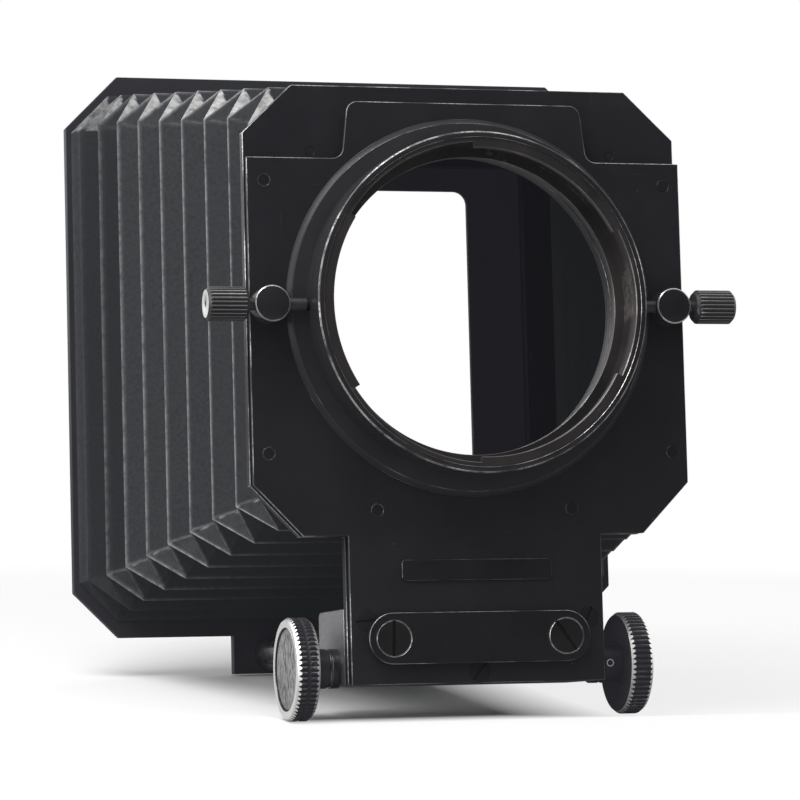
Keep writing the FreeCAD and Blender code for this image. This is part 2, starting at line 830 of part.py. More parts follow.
def make_shaft_bush(side):
    label = "shaft_bush_" + side
    body = new_body(label)
    bore = "shaft_radius + shaft_clearance"
    start = NECK_HALF + " - bush_spigot_length"
    profile = [
        (start, bore),
        (start, "bush_spigot_radius"),
        (NECK_HALF, "bush_spigot_radius"),
        (NECK_HALF, "bush_radius"),
        (BUSH_END, "bush_radius"),
        (BUSH_END, bore),
    ]
    turned(body, profile)
    turn = UNTURNED if SIDES[side] > 0 else HALF_TURN
    place(body, "0", SHAFT_SETBACK, SHAFT_LINE, turn)
    node(label, body)


def make_drag_washers():
    """Spring washers between the bushes and the knobs' hubs, which keep the shaft from slipping."""
    washers = []
    for side, direction in SIDES.items():
        x = BUSH_END if direction > 0 else negative(BUSH_END + " + washer_thickness")
        disc = cylinder("washer_disc_" + side, "bush_radius - washer_room * 3", "washer_thickness")
        hole = cylinder("washer_hole_" + side, "shaft_radius + washer_room", "washer_thickness")
        washer = cut("washer_" + side, disc, hole)
        place(washer, x, SHAFT_SETBACK, SHAFT_LINE, ALONG_X)
        washers.append(washer)
    group("drag_washers", washers)


# ---- knob shaft


def make_drive_shaft():
    end = KNOB_OUTER + " - shaft_end_setback"
    shaft = cylinder(
        "drive_shaft",
        "shaft_radius",
        end + " + " + end,
        negative(end),
        SHAFT_SETBACK,
        SHAFT_LINE,
        ALONG_X,
    )
    node("drive_shaft", shaft)


def make_pinion(side):
    """A pinion with one tooth pointing straight up into the rack."""
    label = "pinion_" + side
    body = new_body(label)
    blank = new_sketch(body, "YZ_Plane", "Root")
    draw_circle(blank, "0", "0", ROOT_RADIUS)
    draw_circle(blank, "0", "0", "shaft_radius")
    core = pad(body, blank, "pinion_width")
    core.Midplane = True
    pitch_half = "gear_module * half_tooth_share - tooth_clearance"
    root_half = pitch_half + " + gear_module * root_flare_share"
    tip_half = pitch_half + " - gear_module * tip_taper_share"
    inside = ROOT_RADIUS + " - tooth_clearance"
    tooth = new_sketch(body, "YZ_Plane", "Tooth")
    right_flank = [(tip_half, TIP_RADIUS), (pitch_half, PITCH_RADIUS), (root_half, inside)]
    draw_outline(tooth, mirrored(right_flank))
    first = pad(body, tooth, "pinion_width")
    first.Midplane = True
    pattern = body.newObject("PartDesign::PolarPattern", "Teeth")
    pattern.Originals = [first]
    pattern.Axis = (tooth, ["N_Axis"])
    pattern.Angle = 360
    pattern.Occurrences = int(number("pinion_teeth"))
    pattern.setExpression("Occurrences", linked("pinion_teeth"))
    body.Tip = pattern
    document.recompute()
    x = "rod_spacing" if SIDES[side] > 0 else "-rod_spacing"
    place(body, x, SHAFT_SETBACK, SHAFT_LINE)
    node(label, body)


def make_knob(side):
    label = "knob_" + side
    body = new_body(label)
    middle = KNOB_INNER + " + knob_width / 2"
    recess = KNOB_OUTER + " - knob_disc_depth"
    profile = [
        (HUB_START, "shaft_radius"),
        (HUB_START, "bush_radius"),
        (KNOB_INNER, "bush_radius"),
        (KNOB_INNER, "knob_radius - knob_chamfer"),
        (KNOB_INNER + " + knob_chamfer", "knob_radius"),
    ]
    if side == "left":
        profile += [
            (middle + " - knob_groove_width / 2", "knob_radius"),
            (middle + " - knob_groove_width / 2", "knob_radius - knob_groove_depth"),
            (middle + " + knob_groove_width / 2", "knob_radius - knob_groove_depth"),
            (middle + " + knob_groove_width / 2", "knob_radius"),
        ]
    profile += [
        (KNOB_OUTER + " - knob_chamfer", "knob_radius"),
        (KNOB_OUTER, "knob_radius - knob_chamfer"),
        (KNOB_OUTER, KNOB_DISC_RADIUS),
        (recess, KNOB_DISC_RADIUS),
        (recess, "shaft_radius"),
    ]
    turned(body, profile)
    hole = new_sketch(body, "XZ_Plane", "SetScrewHole")
    draw_circle(hole, HUB_START + " + set_screw_inset", "0", "set_screw_radius")
    pocket(body, hole, "bush_radius + 1", along_normal=True)
    turn = UNTURNED if SIDES[side] > 0 else HALF_TURN
    place(body, "0", SHAFT_SETBACK, SHAFT_LINE, turn)
    node(label, body)


def make_knob_disc(side):
    """The grained disc let into the knob's outer face."""
    start = KNOB_OUTER + " - knob_disc_depth"
    if SIDES[side] < 0:
        start = negative(start + " + knob_disc_thickness")
    disc = cylinder(
        "knob_disc_" + side,
        KNOB_DISC_RADIUS,
        "knob_disc_thickness",
        start,
        SHAFT_SETBACK,
        SHAFT_LINE,
        ALONG_X,
    )
    node("knob_disc_" + side, disc)


def make_set_screws():
    screws = []
    for side, direction in SIDES.items():
        middle = HUB_START + " + set_screw_inset"
        x = middle if direction > 0 else negative(middle)
        y = SHAFT_SETBACK + " - bush_radius" if direction > 0 else SHAFT_SETBACK + " + bush_radius"
        turn = ALONG_Y if direction > 0 else AGAINST_Y
        length = "bush_radius - shaft_radius"
        name = "set_screw_" + side
        screws.append(cylinder(name, "set_screw_radius", length, x, y, SHAFT_LINE, turn))
    group("knob_set_screws", screws)


# ---- rods and their end cap


def make_rail_rod(side):
    """A round rod, drilled at both ends, with rack teeth milled into its underside."""
    label = "rail_rod_" + side
    body = new_body(label)
    section = new_sketch(body, "XZ_Plane", "Section")
    draw_circle(section, "0", "0", "rod_radius")
    pad(body, section, "frame_setback", backwards=True)
    front = new_sketch(body, "XZ_Plane", "FrontHole")
    draw_circle(front, "0", "0", "cap_screw_radius")
    pocket(body, front, "cap_screw_length")
    rear = new_sketch(body, "XZ_Plane", "RearHole", "-frame_setback")
    draw_circle(rear, "0", "0", "cap_screw_radius")
    pocket(body, rear, "cap_screw_length", along_normal=True)
    start = SHAFT_SETBACK + " - rack_lead * " + RACK_PITCH
    tip = RACK_LINE + " - gear_module * tooth_rise_share"
    root = RACK_LINE + " + gear_module * rack_depth_share"
    flat = new_sketch(body, "YZ_Plane", "Flat")
    end = start + " + rack_teeth * " + RACK_PITCH
    below = "-rod_radius - gear_module"
    draw_outline(flat, [(start, below), (start, tip), (end, tip), (end, below)])
    pocket(body, flat, "rod_radius * 2", through_both=True)
    gap = new_sketch(body, "YZ_Plane", "Gap")
    middle = start + " + " + RACK_PITCH + " / 2"
    gap_half = "gear_module * half_tooth_share + tooth_clearance"
    wide = gap_half + " + gear_module * tooth_rise_share * tooth_slope"
    narrow = gap_half + " - gear_module * rack_depth_share * tooth_slope"
    mouth = tip + " - tooth_clearance"
    corners = [
        (middle + " + " + negative(wide), mouth),
        (middle + " + " + negative(narrow), root),
        (middle + " + " + narrow, root),
        (middle + " + " + wide, mouth),
    ]
    draw_outline(gap, corners)
    first = pocket(body, gap, "rod_radius * 2", through_both=True)
    pattern = body.newObject("PartDesign::LinearPattern", "Rack")
    pattern.Originals = [first]
    pattern.Direction = (gap, ["H_Axis"])
    bind(pattern, Length="rack_teeth * " + RACK_PITCH + " - " + RACK_PITCH)
    pattern.Occurrences = int(number("rack_teeth"))
    pattern.setExpression("Occurrences", linked("rack_teeth"))
    body.Tip = pattern
    document.recompute()
    x = "rod_spacing" if SIDES[side] > 0 else "-rod_spacing"
    place(body, x, "0", ROD_LINE)
    node(label, body)


def make_rail_end_cap():
    """The obround plate across the rods' front ends, which stops them at the neck."""
    body = new_body("rail_end_cap")
    outline = new_sketch(body, "XZ_Plane", "Outline")
    bar = [
        ("rod_spacing", ROD_LINE + " + " + CAP_END_RADIUS),
        ("rod_spacing", ROD_LINE + " + " + negative(CAP_END_RADIUS)),
    ]
    draw_outline(outline, mirrored(bar))
    pad(body, outline, "cap_thickness")
    for x, z in RODS:
        end = new_sketch(body, "XZ_Plane", "RoundEnd")
        draw_circle(end, x, z, CAP_END_RADIUS)
        pad(body, end, "cap_thickness")
    holes = new_sketch(body, "XZ_Plane", "ScrewHoles")
    for x, z in RODS:
        draw_circle(holes, x, z, "cap_screw_radius")
    pocket(body, holes, "cap_thickness", along_normal=True)
    seats = new_sketch(body, "XZ_Plane", "ScrewSeats", "cap_thickness")
    for x, z in RODS:
        draw_circle(seats, x, z, "cap_head_radius")
    pocket(body, seats, "cap_head_height")
    node("rail_end_cap", body)


def make_end_cap_screws():
    length = "cap_thickness + cap_screw_length"
    sizes = ("cap_head_radius", "cap_head_height", "cap_screw_radius", length, "cap_slot_width")
    slot_turns = (55.0, 92.0)
    screws = []
    for index, (x, z) in enumerate(RODS):
        name = "end_cap_screw_%d" % index
        screws.append(screw(name, sizes, x, "-cap_thickness", z, ALONG_Y, slot_turns[index]))
    group("end_cap_screws", screws)


def make_rod_rear_screws():
    length = "frame_thickness + rod_screw_head_height + cap_screw_length"
    sizes = (
        "rod_screw_head_radius",
        "rod_screw_head_height",
        "cap_screw_radius",
        length,
        "cap_slot_width",
    )
    back = FRAME_BACK + " + rod_screw_head_height"
    screws = []
    for index, (x, z) in enumerate(RODS):
        name = "rod_rear_screw_%d" % index
        screws.append(screw(name, sizes, x, back, z, AGAINST_Y, 30.0))
    group("rod_rear_screws", screws)


# ---- rear frame and mask


MASK_SCREWS = four_corners(MASK_SCREW, MASK_SCREW)


def window(sketch, half_width, half_height):
    draw_outline(sketch, four_corners(half_width, half_height))


def make_rear_frame():
    body = new_body("rear_frame")
    outline = new_sketch(body, "XZ_Plane", "Outline", "-frame_setback")
    edge = FRAME_HALF + " - frame_chamfer"
    foot_edge = FRAME_HALF + " - frame_foot_chamfer"
    right_side = [
        (edge, FRAME_HALF + " + frame_top_rise"),
        (FRAME_HALF, edge + " + frame_top_rise"),
        (FRAME_HALF, negative(foot_edge)),
        (foot_edge, negative(FRAME_HALF)),
        (NECK_HALF, negative(FRAME_HALF)),
        (NECK_HALF, ROD_LINE + " - leg_margin"),
    ]
    draw_outline(outline, mirrored(right_side))
    opening = rear_clamp_half() + " - clamp_frame_width"
    window(outline, opening, opening)
    for x, z in RODS:
        draw_circle(outline, x, z, "cap_screw_radius")
    for x, z in MASK_SCREWS + rear_clamp_spots():
        draw_circle(outline, x, z, "small_screw_radius")
    pad(body, outline, "frame_thickness", backwards=True)
    node("rear_frame", body)


def make_mask_plate():
    body = new_body("mask_plate")
    outline = new_sketch(body, "XZ_Plane", "Outline", negative(FRAME_BACK))
    window(outline, MASK_HALF, MASK_HALF)
    window(outline, "mask_window_half_width", "mask_window_half_height")
    for x, z in MASK_SCREWS:
        draw_circle(outline, x, z, "small_screw_radius")
    pad(body, outline, "mask_thickness", backwards=True)
    spots = four_corners("mask_window_half_width", "mask_window_half_height")
    round_edges(body, spots, "mask_window_radius")
    node("mask_plate", body)


def make_mask_screws():
    length = "small_head_height + mask_thickness + frame_thickness"
    sizes = ("small_head_radius", "small_head_height", "small_screw_radius", length, "slot_width")
    back = MASK_BACK + " + small_head_height"
    screws = []
    for index, (x, z) in enumerate(MASK_SCREWS):
        screws.append(screw("mask_screw_%d" % index, sizes, x, back, z, AGAINST_Y, 20.0 * index))
    group("mask_screws", screws)


# ---- bellows and the frames that clamp its ends inside


def front_clamp_half():
    return PLEAT_FRONT_HALF + " - pleat_depth - pleat_skin - pleat_clearance * 2"


def rear_clamp_half():
    return "pleat_rear_half - pleat_depth - pleat_skin - pleat_clearance * 2"


def front_clamp_spots():
    middle = front_clamp_half() + " - clamp_frame_width"
    return four_corners(middle, middle)


def rear_clamp_spots():
    middle = rear_clamp_half() + " - clamp_frame_width / 2"
    return [(middle, "0"), (negative(middle), "0")]


def make_clamp_frame(label, half, front, spots):
    """A flat square frame with cut corners that holds one end of the bellows."""
    body = new_body(label)
    sketch = new_sketch(body, "XZ_Plane", "Outline", negative(front))
    cut_edge = half + " - clamp_frame_corner"
    corners = [
        (cut_edge, half),
        (half, cut_edge),
        (half, negative(cut_edge)),
        (cut_edge, negative(half)),
    ]
    draw_outline(sketch, mirrored(corners))
    inner = half + " - clamp_frame_width"
    if label == "bellows_front_clamp":
        draw_circle(sketch, "0", "0", LIGHT_BORE)
    else:
        window(sketch, inner, inner)
    for x, z in spots:
        draw_circle(sketch, x, z, "small_screw_radius")
    pad(body, sketch, "clamp_frame_thickness", backwards=True)
    node(label, body)


def make_clamp_screws():
    head = "small_head_height"
    front_length = "clamp_frame_thickness + small_head_height + back_thickness"
    front_y = STACK_BACK + " + clamp_frame_thickness + small_head_height"
    sizes = ("small_head_radius", head, "small_screw_radius", front_length, "slot_width")
    screws = []
    for index, (x, z) in enumerate(front_clamp_spots()):
        screws.append(screw("front_clamp_screw_%d" % index, sizes, x, front_y, z, AGAINST_Y, 10.0))
    group("front_clamp_screws", screws)
    rear_length = "clamp_frame_thickness + small_head_height + frame_thickness"
    rear_y = "frame_setback - clamp_frame_thickness - small_head_height"
    sizes = ("small_head_radius", head, "small_screw_radius", rear_length, "slot_width")
    screws = []
    for index, (x, z) in enumerate(rear_clamp_spots()):
        screws.append(screw("rear_clamp_screw_%d" % index, sizes, x, rear_y, z, ALONG_Y, 70.0))
    group("rear_clamp_screws", screws)


def bellows_section(fold, half, skin):
    """Eight corners of a fold. Its sides stand out where side_out is 1 and lie in where it is 0,
    and so do its top and bottom with top_out."""
    y, side_out, top_out, flare = fold
    depth = number("pleat_depth")
    corner = number("pleat_corner") + number("pleat_corner_flare") * flare
    valley_corner = number("pleat_valley_corner")
    side_half = half + number("pleat_side_extra") + number("pleat_side_flare") * flare - skin
    top_half = half + number("pleat_flare") * flare - skin
    across = side_half - depth * (1 - side_out)
    upright = top_half - depth * (1 - top_out)
    side_end = top_half - corner * side_out - valley_corner * (1 - side_out) + skin / 2
    top_end = side_half - corner * top_out - valley_corner * (1 - top_out) + skin / 2
    return [
        V(across, y, side_end),
        V(top_end, y, upright),
        V(-top_end, y, upright),
        V(-across, y, side_end),
        V(-across, y, -side_end),
        V(-top_end, y, -upright),
        V(top_end, y, -upright),
        V(across, y, -side_end),
    ]


def bellows_folds():
    """(y, side_out, top_out, flare) of every fold from the back plate to the rear frame. The last
    folds are gathered, and they flare out to the frame, where all four walls stand out."""
    start = number(STACK_BACK + " + pleat_clearance")
    end = number("frame_setback - pleat_clearance")
    first = number(STACK_BACK + " + pleat_first_ridge")
    count = int(number("pleat_count"))
    gathers = int(number("pleat_gathers"))
    share = number("pleat_gather_share")
    half_pitch = (end - first) / (count * 2 - 1 + gathers * share)
    folds = [(start, 1, 0, 0.0), (first - half_pitch, 0, 1, 0.0)]
    for index in range(2 * count):
        folds.append((first + index * half_pitch, 1 - index % 2, index % 2, 0.0))
    last = folds[-1][0]
    for step in range(1, gathers):
        folds.append((last + step * half_pitch * share, step % 2, 1 - step % 2, step / gathers))
    folds.append((end, 1, 1, 1.0))
    return folds


def facet(*points):
    return Part.Face(Part.makePolygon(list(points) + [points[0]]))


def bellows_skin(sections):
    """Faces between neighbouring folds: four panels and four pairs of corner triangles."""
    faces = []
    for (near, near_lean), (far, far_lean) in zip(sections, sections[1:]):
        for index in range(8):
            following = (index + 1) % 8
            a, b = near[index], near[following]
            c, d = far[following], far[index]
            if index % 2:
                faces.append(facet(a, b, c, d))
            elif (near_lean > far_lean) == (index % 4 == 0):
                faces.append(facet(a, b, c))
                faces.append(facet(a, c, d))
            else:
                faces.append(facet(a, b, d))
                faces.append(facet(b, c, d))
    return faces


def make_bellows():
    folds = bellows_folds()
    start_y, end_y = folds[0][0], folds[-1][0]
    front_half, rear_half = number(PLEAT_FRONT_HALF), number("pleat_rear_half")
    skins = []
    for skin in (0.0, number("pleat_skin")):
        sections = []
        for fold in folds:
            share = (fold[0] - start_y) / (end_y - start_y)
            half = front_half + (rear_half - front_half) * share
            sections.append((bellows_section(fold, half, skin), fold[1] - fold[2]))
        skins.append(sections)
    faces = bellows_skin(skins[0]) + bellows_skin(skins[1])
    for end in (0, -1):
        outer, inner = skins[0][end][0], skins[1][end][0]
        for index in range(8):
            following = (index + 1) % 8
            faces.append(facet(outer[index], outer[following], inner[following], inner[index]))
    shell = Part.makeShell(faces)
    shell.sewShape()
    solid = Part.makeSolid(shell)
    if solid.Volume < 0:
        solid.reverse()
    feature = document.addObject("Part::Feature", "bellows")
    feature.Shape = solid
    feature.Placement = FreeCAD.Placement()
    node("bellows", feature)


# ---- the whole unit

make_cover_plate()
make_slot_spacer()
make_back_plate()
make_rivets()
make_neck_screws()
make_nameplate()
make_collar_flange()
make_lens_collar()
make_bayonet_ring()
make_collar_screws()
make_rack_housing()
make_drag_washers()
make_drive_shaft()
for side in SIDES:
    make_clamp_post(side)
    make_thumbscrew(side)
    make_pressure_pad(side)
    make_shaft_bush(side)
    make_pinion(side)
    make_knob(side)
    make_knob_disc(side)
    make_rail_rod(side)
make_set_screws()
make_rail_end_cap()
make_end_cap_screws()
make_rod_rear_screws()
make_rear_frame()
make_mask_plate()
make_mask_screws()
make_clamp_frame("bellows_front_clamp", front_clamp_half(), STACK_BACK, front_clamp_spots())
rear_clamp_front = "frame_setback - clamp_frame_thickness"
make_clamp_frame("bellows_rear_clamp", rear_clamp_half(), rear_clamp_front, rear_clamp_spots())
make_clamp_screws()
make_bellows()
document.recompute()

for item in document.Objects:
    if "Invalid" in item.State or "Error" in item.State:
        raise RuntimeError("%s failed: %s" % (item.Label, item.State))
os.makedirs("parts", exist_ok=True)
for label, thing in nodes.items():
    shape = thing.Shape
    if shape.isNull() or not shape.isValid() or shape.Volume <= 0:
        raise RuntimeError("%s has no valid shape" % label)
for label, thing in nodes.items():
    thing.Shape.exportStep(os.path.join("parts", label + ".step"))
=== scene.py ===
import math

import bmesh
import bpy
from mathutils import Matrix, Vector, noise


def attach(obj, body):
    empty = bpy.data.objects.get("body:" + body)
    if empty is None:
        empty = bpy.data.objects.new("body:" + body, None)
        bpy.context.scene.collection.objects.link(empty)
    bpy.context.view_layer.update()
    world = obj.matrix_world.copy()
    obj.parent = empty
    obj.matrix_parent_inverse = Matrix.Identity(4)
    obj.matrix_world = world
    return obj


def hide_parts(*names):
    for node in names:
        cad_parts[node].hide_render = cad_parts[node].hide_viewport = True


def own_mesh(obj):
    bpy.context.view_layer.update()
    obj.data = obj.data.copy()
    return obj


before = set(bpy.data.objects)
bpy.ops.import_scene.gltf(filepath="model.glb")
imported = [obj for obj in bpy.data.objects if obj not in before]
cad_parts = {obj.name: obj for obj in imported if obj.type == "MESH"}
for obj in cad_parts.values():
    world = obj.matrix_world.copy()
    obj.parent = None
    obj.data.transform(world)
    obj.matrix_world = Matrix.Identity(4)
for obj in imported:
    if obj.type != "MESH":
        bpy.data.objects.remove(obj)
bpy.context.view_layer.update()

# ---- Back plate, slot spacer and cover plate
# Three flat layers of blackened steel, riveted together. The middle one is a U, and leaves the filter slot
# open at the top between the other two. The black paint is satin, and worn to bright metal along every edge.

MM = 0.001
EDGE_BREAK = 0.15 * MM
SHORT_EDGE, LONG_EDGE = 0.35 * MM, 5 * MM
SAME_SPOT = 1e-6
FOLD_ANGLE = math.radians(28)
FLAT_ANGLE = math.radians(0.4)
MIX_SHARE, MIX_FIRST, MIX_SECOND, MIX_COLOUR = 0, 6, 7, 2
CLOUDS, HANDLING, PATCHES, FLAKES, PITS = 45, 140, 75, 1100, 2600
LONG_SCRATCHES, CROSS_SCRATCHES, SPECKS, DUST = 60, 50, 210, 90
GLOW_TINT = (0.92, 0.88, 1.12)


def plug(tree, socket, value):
    """Sets a socket to a value, or links it to one other socket or a list. A colour is three numbers."""
    for source in value if isinstance(value, list) else [value]:
        if isinstance(source, bpy.types.NodeSocket):
            tree.links.new(source, socket)
        else:
            socket.default_value = (*source, 1.0) if socket.type == "RGBA" else source


def put(tree, kind, settings=None, **sockets):
    """Adds a node with its settings, plugs its named sockets, and gives back its outputs."""
    made = tree.nodes.new(kind if "Node" in kind else "ShaderNode" + kind)
    for word, value in (settings or {}).items():
        setattr(made, word, value)
    for word, value in sockets.items():
        plug(tree, made.inputs[word.replace("_", " ")], value)
    return made.outputs


def reckoned(tree, one, other, operation="MULTIPLY", kind="ShaderNodeMath"):
    """Two values or sockets multiplied, or put through another operation."""
    made = tree.nodes.new(kind)
    made.operation = operation
    plug(tree, made.inputs[0], one)
    plug(tree, made.inputs[1], other)
    return made.outputs[0]


def blended(tree, share, plain, changed):
    """A colour between two others, each a colour or a socket."""
    mix = tree.nodes.new("ShaderNodeMix")
    mix.data_type = "RGBA"
    for place, value in ((MIX_SHARE, share), (MIX_FIRST, plain), (MIX_SECOND, changed)):
        plug(tree, mix.inputs[place], value)
    return mix.outputs[MIX_COLOUR]


def ranged(tree, value, low, high, to_low=0.0, to_high=1.0):
    """A value stretched from one range to another, and held inside it."""
    return put(tree, "MapRange", Value=value, From_Min=low, From_Max=high, To_Min=to_low, To_Max=to_high)[0]


def grey(level):
    return (level, level, level)


def grain(tree, scale, detail=2.0, stretch=(1, 1, 1), turn=(0, 0, 0), rough=0.5):
    """Noise laid through the piece, as many grains to the metre as scale says."""
    place = put(tree, "TexCoord")["Object"]
    laid = put(tree, "Mapping", Vector=place, Scale=stretch, Rotation=turn)[0]
    return put(tree, "TexNoise", Vector=laid, Scale=scale, Detail=detail, Roughness=rough)[0]


def blank_material(name):
    """A new material, its tree, and the sockets of its shader."""
    made = bpy.data.materials.new(name)
    made.use_nodes = True
    return made, made.node_tree, made.node_tree.nodes["Principled BSDF"].inputs


def painted(name, colour, scuffed, roughness, bare, chip=0.5, metallic=0.0, specular=0.5, haze=0.35,
            scratch=0.12, pits=0.04, painted_glow=0.0):
    """Paint over metal: cloudy in colour, finely pitted, scratched, dusty, and chipped to bare metal along
    its edges, and bare where a highlight is painted on. The last argument adds a painted glow: an emission
    that lifts the dark paint, standing in for stray light in front of it."""
    made, tree, paint = blank_material(name)
    cloud = ranged(tree, grain(tree, CLOUDS, 3), 0.35, 0.7)
    handled = ranged(tree, grain(tree, HANDLING, 5, rough=0.65), 0.5, 0.72, 0.0, haze)
    base = blended(tree, reckoned(tree, cloud, handled, "MAXIMUM"), colour, scuffed)
    long_ways = ranged(tree, grain(tree, LONG_SCRATCHES, 2, (1, 1, 30), (0.3, 0.5, 0.6)), 0.73, 0.80)
    cross_ways = ranged(tree, grain(tree, CROSS_SCRATCHES, 2, (26, 1, 1), (0.2, -0.4, 0.35)), 0.75, 0.82)
    lines = reckoned(tree, reckoned(tree, long_ways, cross_ways, "MAXIMUM"), scratch)
    cells = put(tree, "TexVoronoi", Vector=put(tree, "TexCoord")["Object"], Scale=SPECKS)["Distance"]
    dusty = ranged(tree, grain(tree, DUST, 1), 0.58, 0.66)
    specks = reckoned(tree, ranged(tree, cells, 0.03, 0.06, 0.2, 0.0), dusty)
    marks = reckoned(tree, reckoned(tree, lines, 0.35), specks, "MAXIMUM")
    base = blended(tree, marks, base, bare)
    # These marks hold wear, and also painted highlights such as the top of each thumbscrew head.
    worn_and_lit = put(tree, "Attribute", {"attribute_name": "wear"})["Fac"]
    flakes = ranged(tree, grain(tree, FLAKES, 3, rough=0.6), 0.35, 0.6, 0.35, 1.0)
    patches = ranged(tree, grain(tree, PATCHES, 3), 0.62 - chip * 0.3, 0.8 - chip * 0.3, 0.06, 1.0)
    edge = reckoned(tree, reckoned(tree, worn_and_lit, 1.0, "SUBTRACT"), reckoned(tree, flakes, patches), "ADD")
    edge = ranged(tree, edge, 0.0, 1.0)
    plug(tree, paint["Base Color"], blended(tree, edge, base, bare))
    dull = reckoned(tree, handled, lines, "ADD")
    plug(tree, paint["Roughness"], ranged(tree, dull, 0.0, 1.0, roughness, roughness + 0.16))
    plug(tree, paint["Metallic"], metallic or reckoned(tree, edge, 0.85))
    plug(tree, paint["Specular IOR Level"], specular)
    # A painted glow: an emission that lifts the dark paint, standing in for stray light in front of it.
    if painted_glow:
        plug(tree, paint["Emission Color"], GLOW_TINT)
        plug(tree, paint["Emission Strength"], painted_glow)
    fine = put(tree, "Bump", Height=grain(tree, PITS, 2), Strength=pits, Distance=0.4 * MM)
    cut = put(tree, "Bump", Height=reckoned(tree, lines, -1.0), Strength=0.25, Distance=0.2 * MM,
              Normal=fine[0])
    plug(tree, paint["Normal"], cut[0])
    return made


def smoothed(mesh, angle=FOLD_ANGLE):
    mesh.shade_smooth()
    mesh.set_sharp_from_angle(angle=angle)


def mesh_from(name, shape):
    """A mesh with the shape that was being edited, which ends here."""
    mesh = bpy.data.meshes.new(name)
    shape.to_mesh(mesh)
    shape.free()
    return mesh


def placed_in_scene(name, data):
    made = bpy.data.objects.new(name, data)
    bpy.context.scene.collection.objects.link(made)
    return made


def fitted(name, mesh, finish, body, slot, *nodes):
    """Puts a finished mesh in the scene as a piece that stands for CAD nodes and moves with their body."""
    piece = placed_in_scene(name, mesh)
    if finish:
        mesh.materials.clear()
        mesh.materials.append(finish)
    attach(piece, body)
    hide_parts(*nodes)
    return piece


def break_edges(shape, wear, size, steps, wanted):
    """Breaks the sharp edges that are wanted, and marks the new faces as worn, the smallest ones less."""
    sharp = [e for e in shape.edges if e.is_manifold and e.calc_face_angle(0) > FOLD_ANGLE and wanted(e)]
    broken = bmesh.ops.bevel(shape, geom=sharp, offset=size, segments=steps, profile=0.5, affect="EDGES",
                             clamp_overlap=False)
    for face in broken["faces"]:
        face[wear] = 1.0 if max(side.calc_length() for side in face.edges) > SHORT_EDGE else 0.4


def edged(name, node, finish, body, slot, edge=EDGE_BREAK, steps=1, thin=None):
    """A node's own shape with its sharp edges broken. The long ones in a thin place are broken by half as
    much, and the short ones there are left."""
    shape = bmesh.new()
    shape.from_mesh(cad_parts[node].data)
    bmesh.ops.remove_doubles(shape, verts=shape.verts, dist=SAME_SPOT)
    bmesh.ops.dissolve_limit(shape, angle_limit=FLAT_ANGLE, verts=shape.verts, edges=shape.edges)
    wear = shape.faces.layers.float.new("wear")
    break_edges(shape, wear, edge, steps, lambda e: not (thin and thin(e)))
    if thin:
        break_edges(shape, wear, edge / 2, 1, lambda e: thin(e) and e.calc_length() > LONG_EDGE)
    many_sided = [face for face in shape.faces if len(face.verts) > 4]
    bmesh.ops.triangulate(shape, faces=many_sided, ngon_method="EAR_CLIP")
    mesh = mesh_from(name, shape)
    if "custom_normal" in mesh.attributes:
        mesh.attributes.remove(mesh.attributes["custom_normal"])
    smoothed(mesh)
    return fitted(name, mesh, finish, body, slot, node)


def both_sides(x, y, z):
    """The same spot on the left and on the right, in millimetres."""
    return [(-x, y, z), (x, y, z)]


NECK_SCREWS = both_sides(27.9, 0, -75.6) + [(0, 0, -88.1)]
NECK_FOOT = -90.5 * MM
SCREW_HOLE = 3 * MM


def at_the_foot(edge):
    """The neck's bottom edges and its screw holes, which leave a tenth of a millimetre of plate in places."""
    if edge.calc_length() > LONG_EDGE:
        return all(spot.co.z < NECK_FOOT for spot in edge.verts)
    return any(all(math.hypot(spot.co.x - x * MM, spot.co.z - z * MM) < SCREW_HOLE for spot in edge.verts)
               for x, _, z in NECK_SCREWS)


BARE_STEEL = (0.62, 0.61, 0.62)
# Satin black with a faint painted glow.
satin_black = painted("satin_black_plate", (0.0137, 0.0131, 0.0168), (0.019, 0.0184, 0.0225), 0.4,
                      BARE_STEEL, chip=0.65, specular=0.45, painted_glow=0.003)
# The spacer is darker than the plates: its own matte black, with painted shade for the slot gap between them.
spacer_black = painted("spacer_black", (0.004, 0.004, 0.005), (0.007, 0.007, 0.008), 0.6, BARE_STEEL,
                       chip=0.1, specular=0.2)
edged("back_layer", "back_plate", satin_black, "front_standard", "black_plate")
edged("middle_layer", "slot_spacer", spacer_black, "front_standard", "black_plate", 0.1 * MM)
edged("front_layer", "cover_plate", satin_black, "front_standard", "black_plate", thin=at_the_foot)

# ---- Rivets and screws
# Flush steel pins hold the three layers together, three slotted screws hold them to the housing, and small
# slotted screws hold the collar, the bellows' clamps and the mask. All are turned from steel and blackened.

SCREW_SIDES = 40
FORWARD, BACKWARD = -1, 1
RIVETS = both_sides(50.8, 0, 30.5) + both_sides(51.1, 0, -35.4) + both_sides(24.6, 0, -49.1)


def shape_tree(name, inputs, output):
    """A new tree for shapes with named inputs and one output, and the sockets inside it for them."""
    tree = bpy.data.node_groups.new(name, "GeometryNodeTree")
    for word, kind in inputs:
        tree.interface.new_socket(word, in_out="INPUT", socket_type="NodeSocket" + kind)
    tree.interface.new_socket(output, in_out="OUTPUT", socket_type="NodeSocketGeometry")
    given = tree.nodes.new("NodeGroupInput").outputs
    done = tree.nodes.new("NodeGroupOutput").inputs[output]
    return tree, given, done


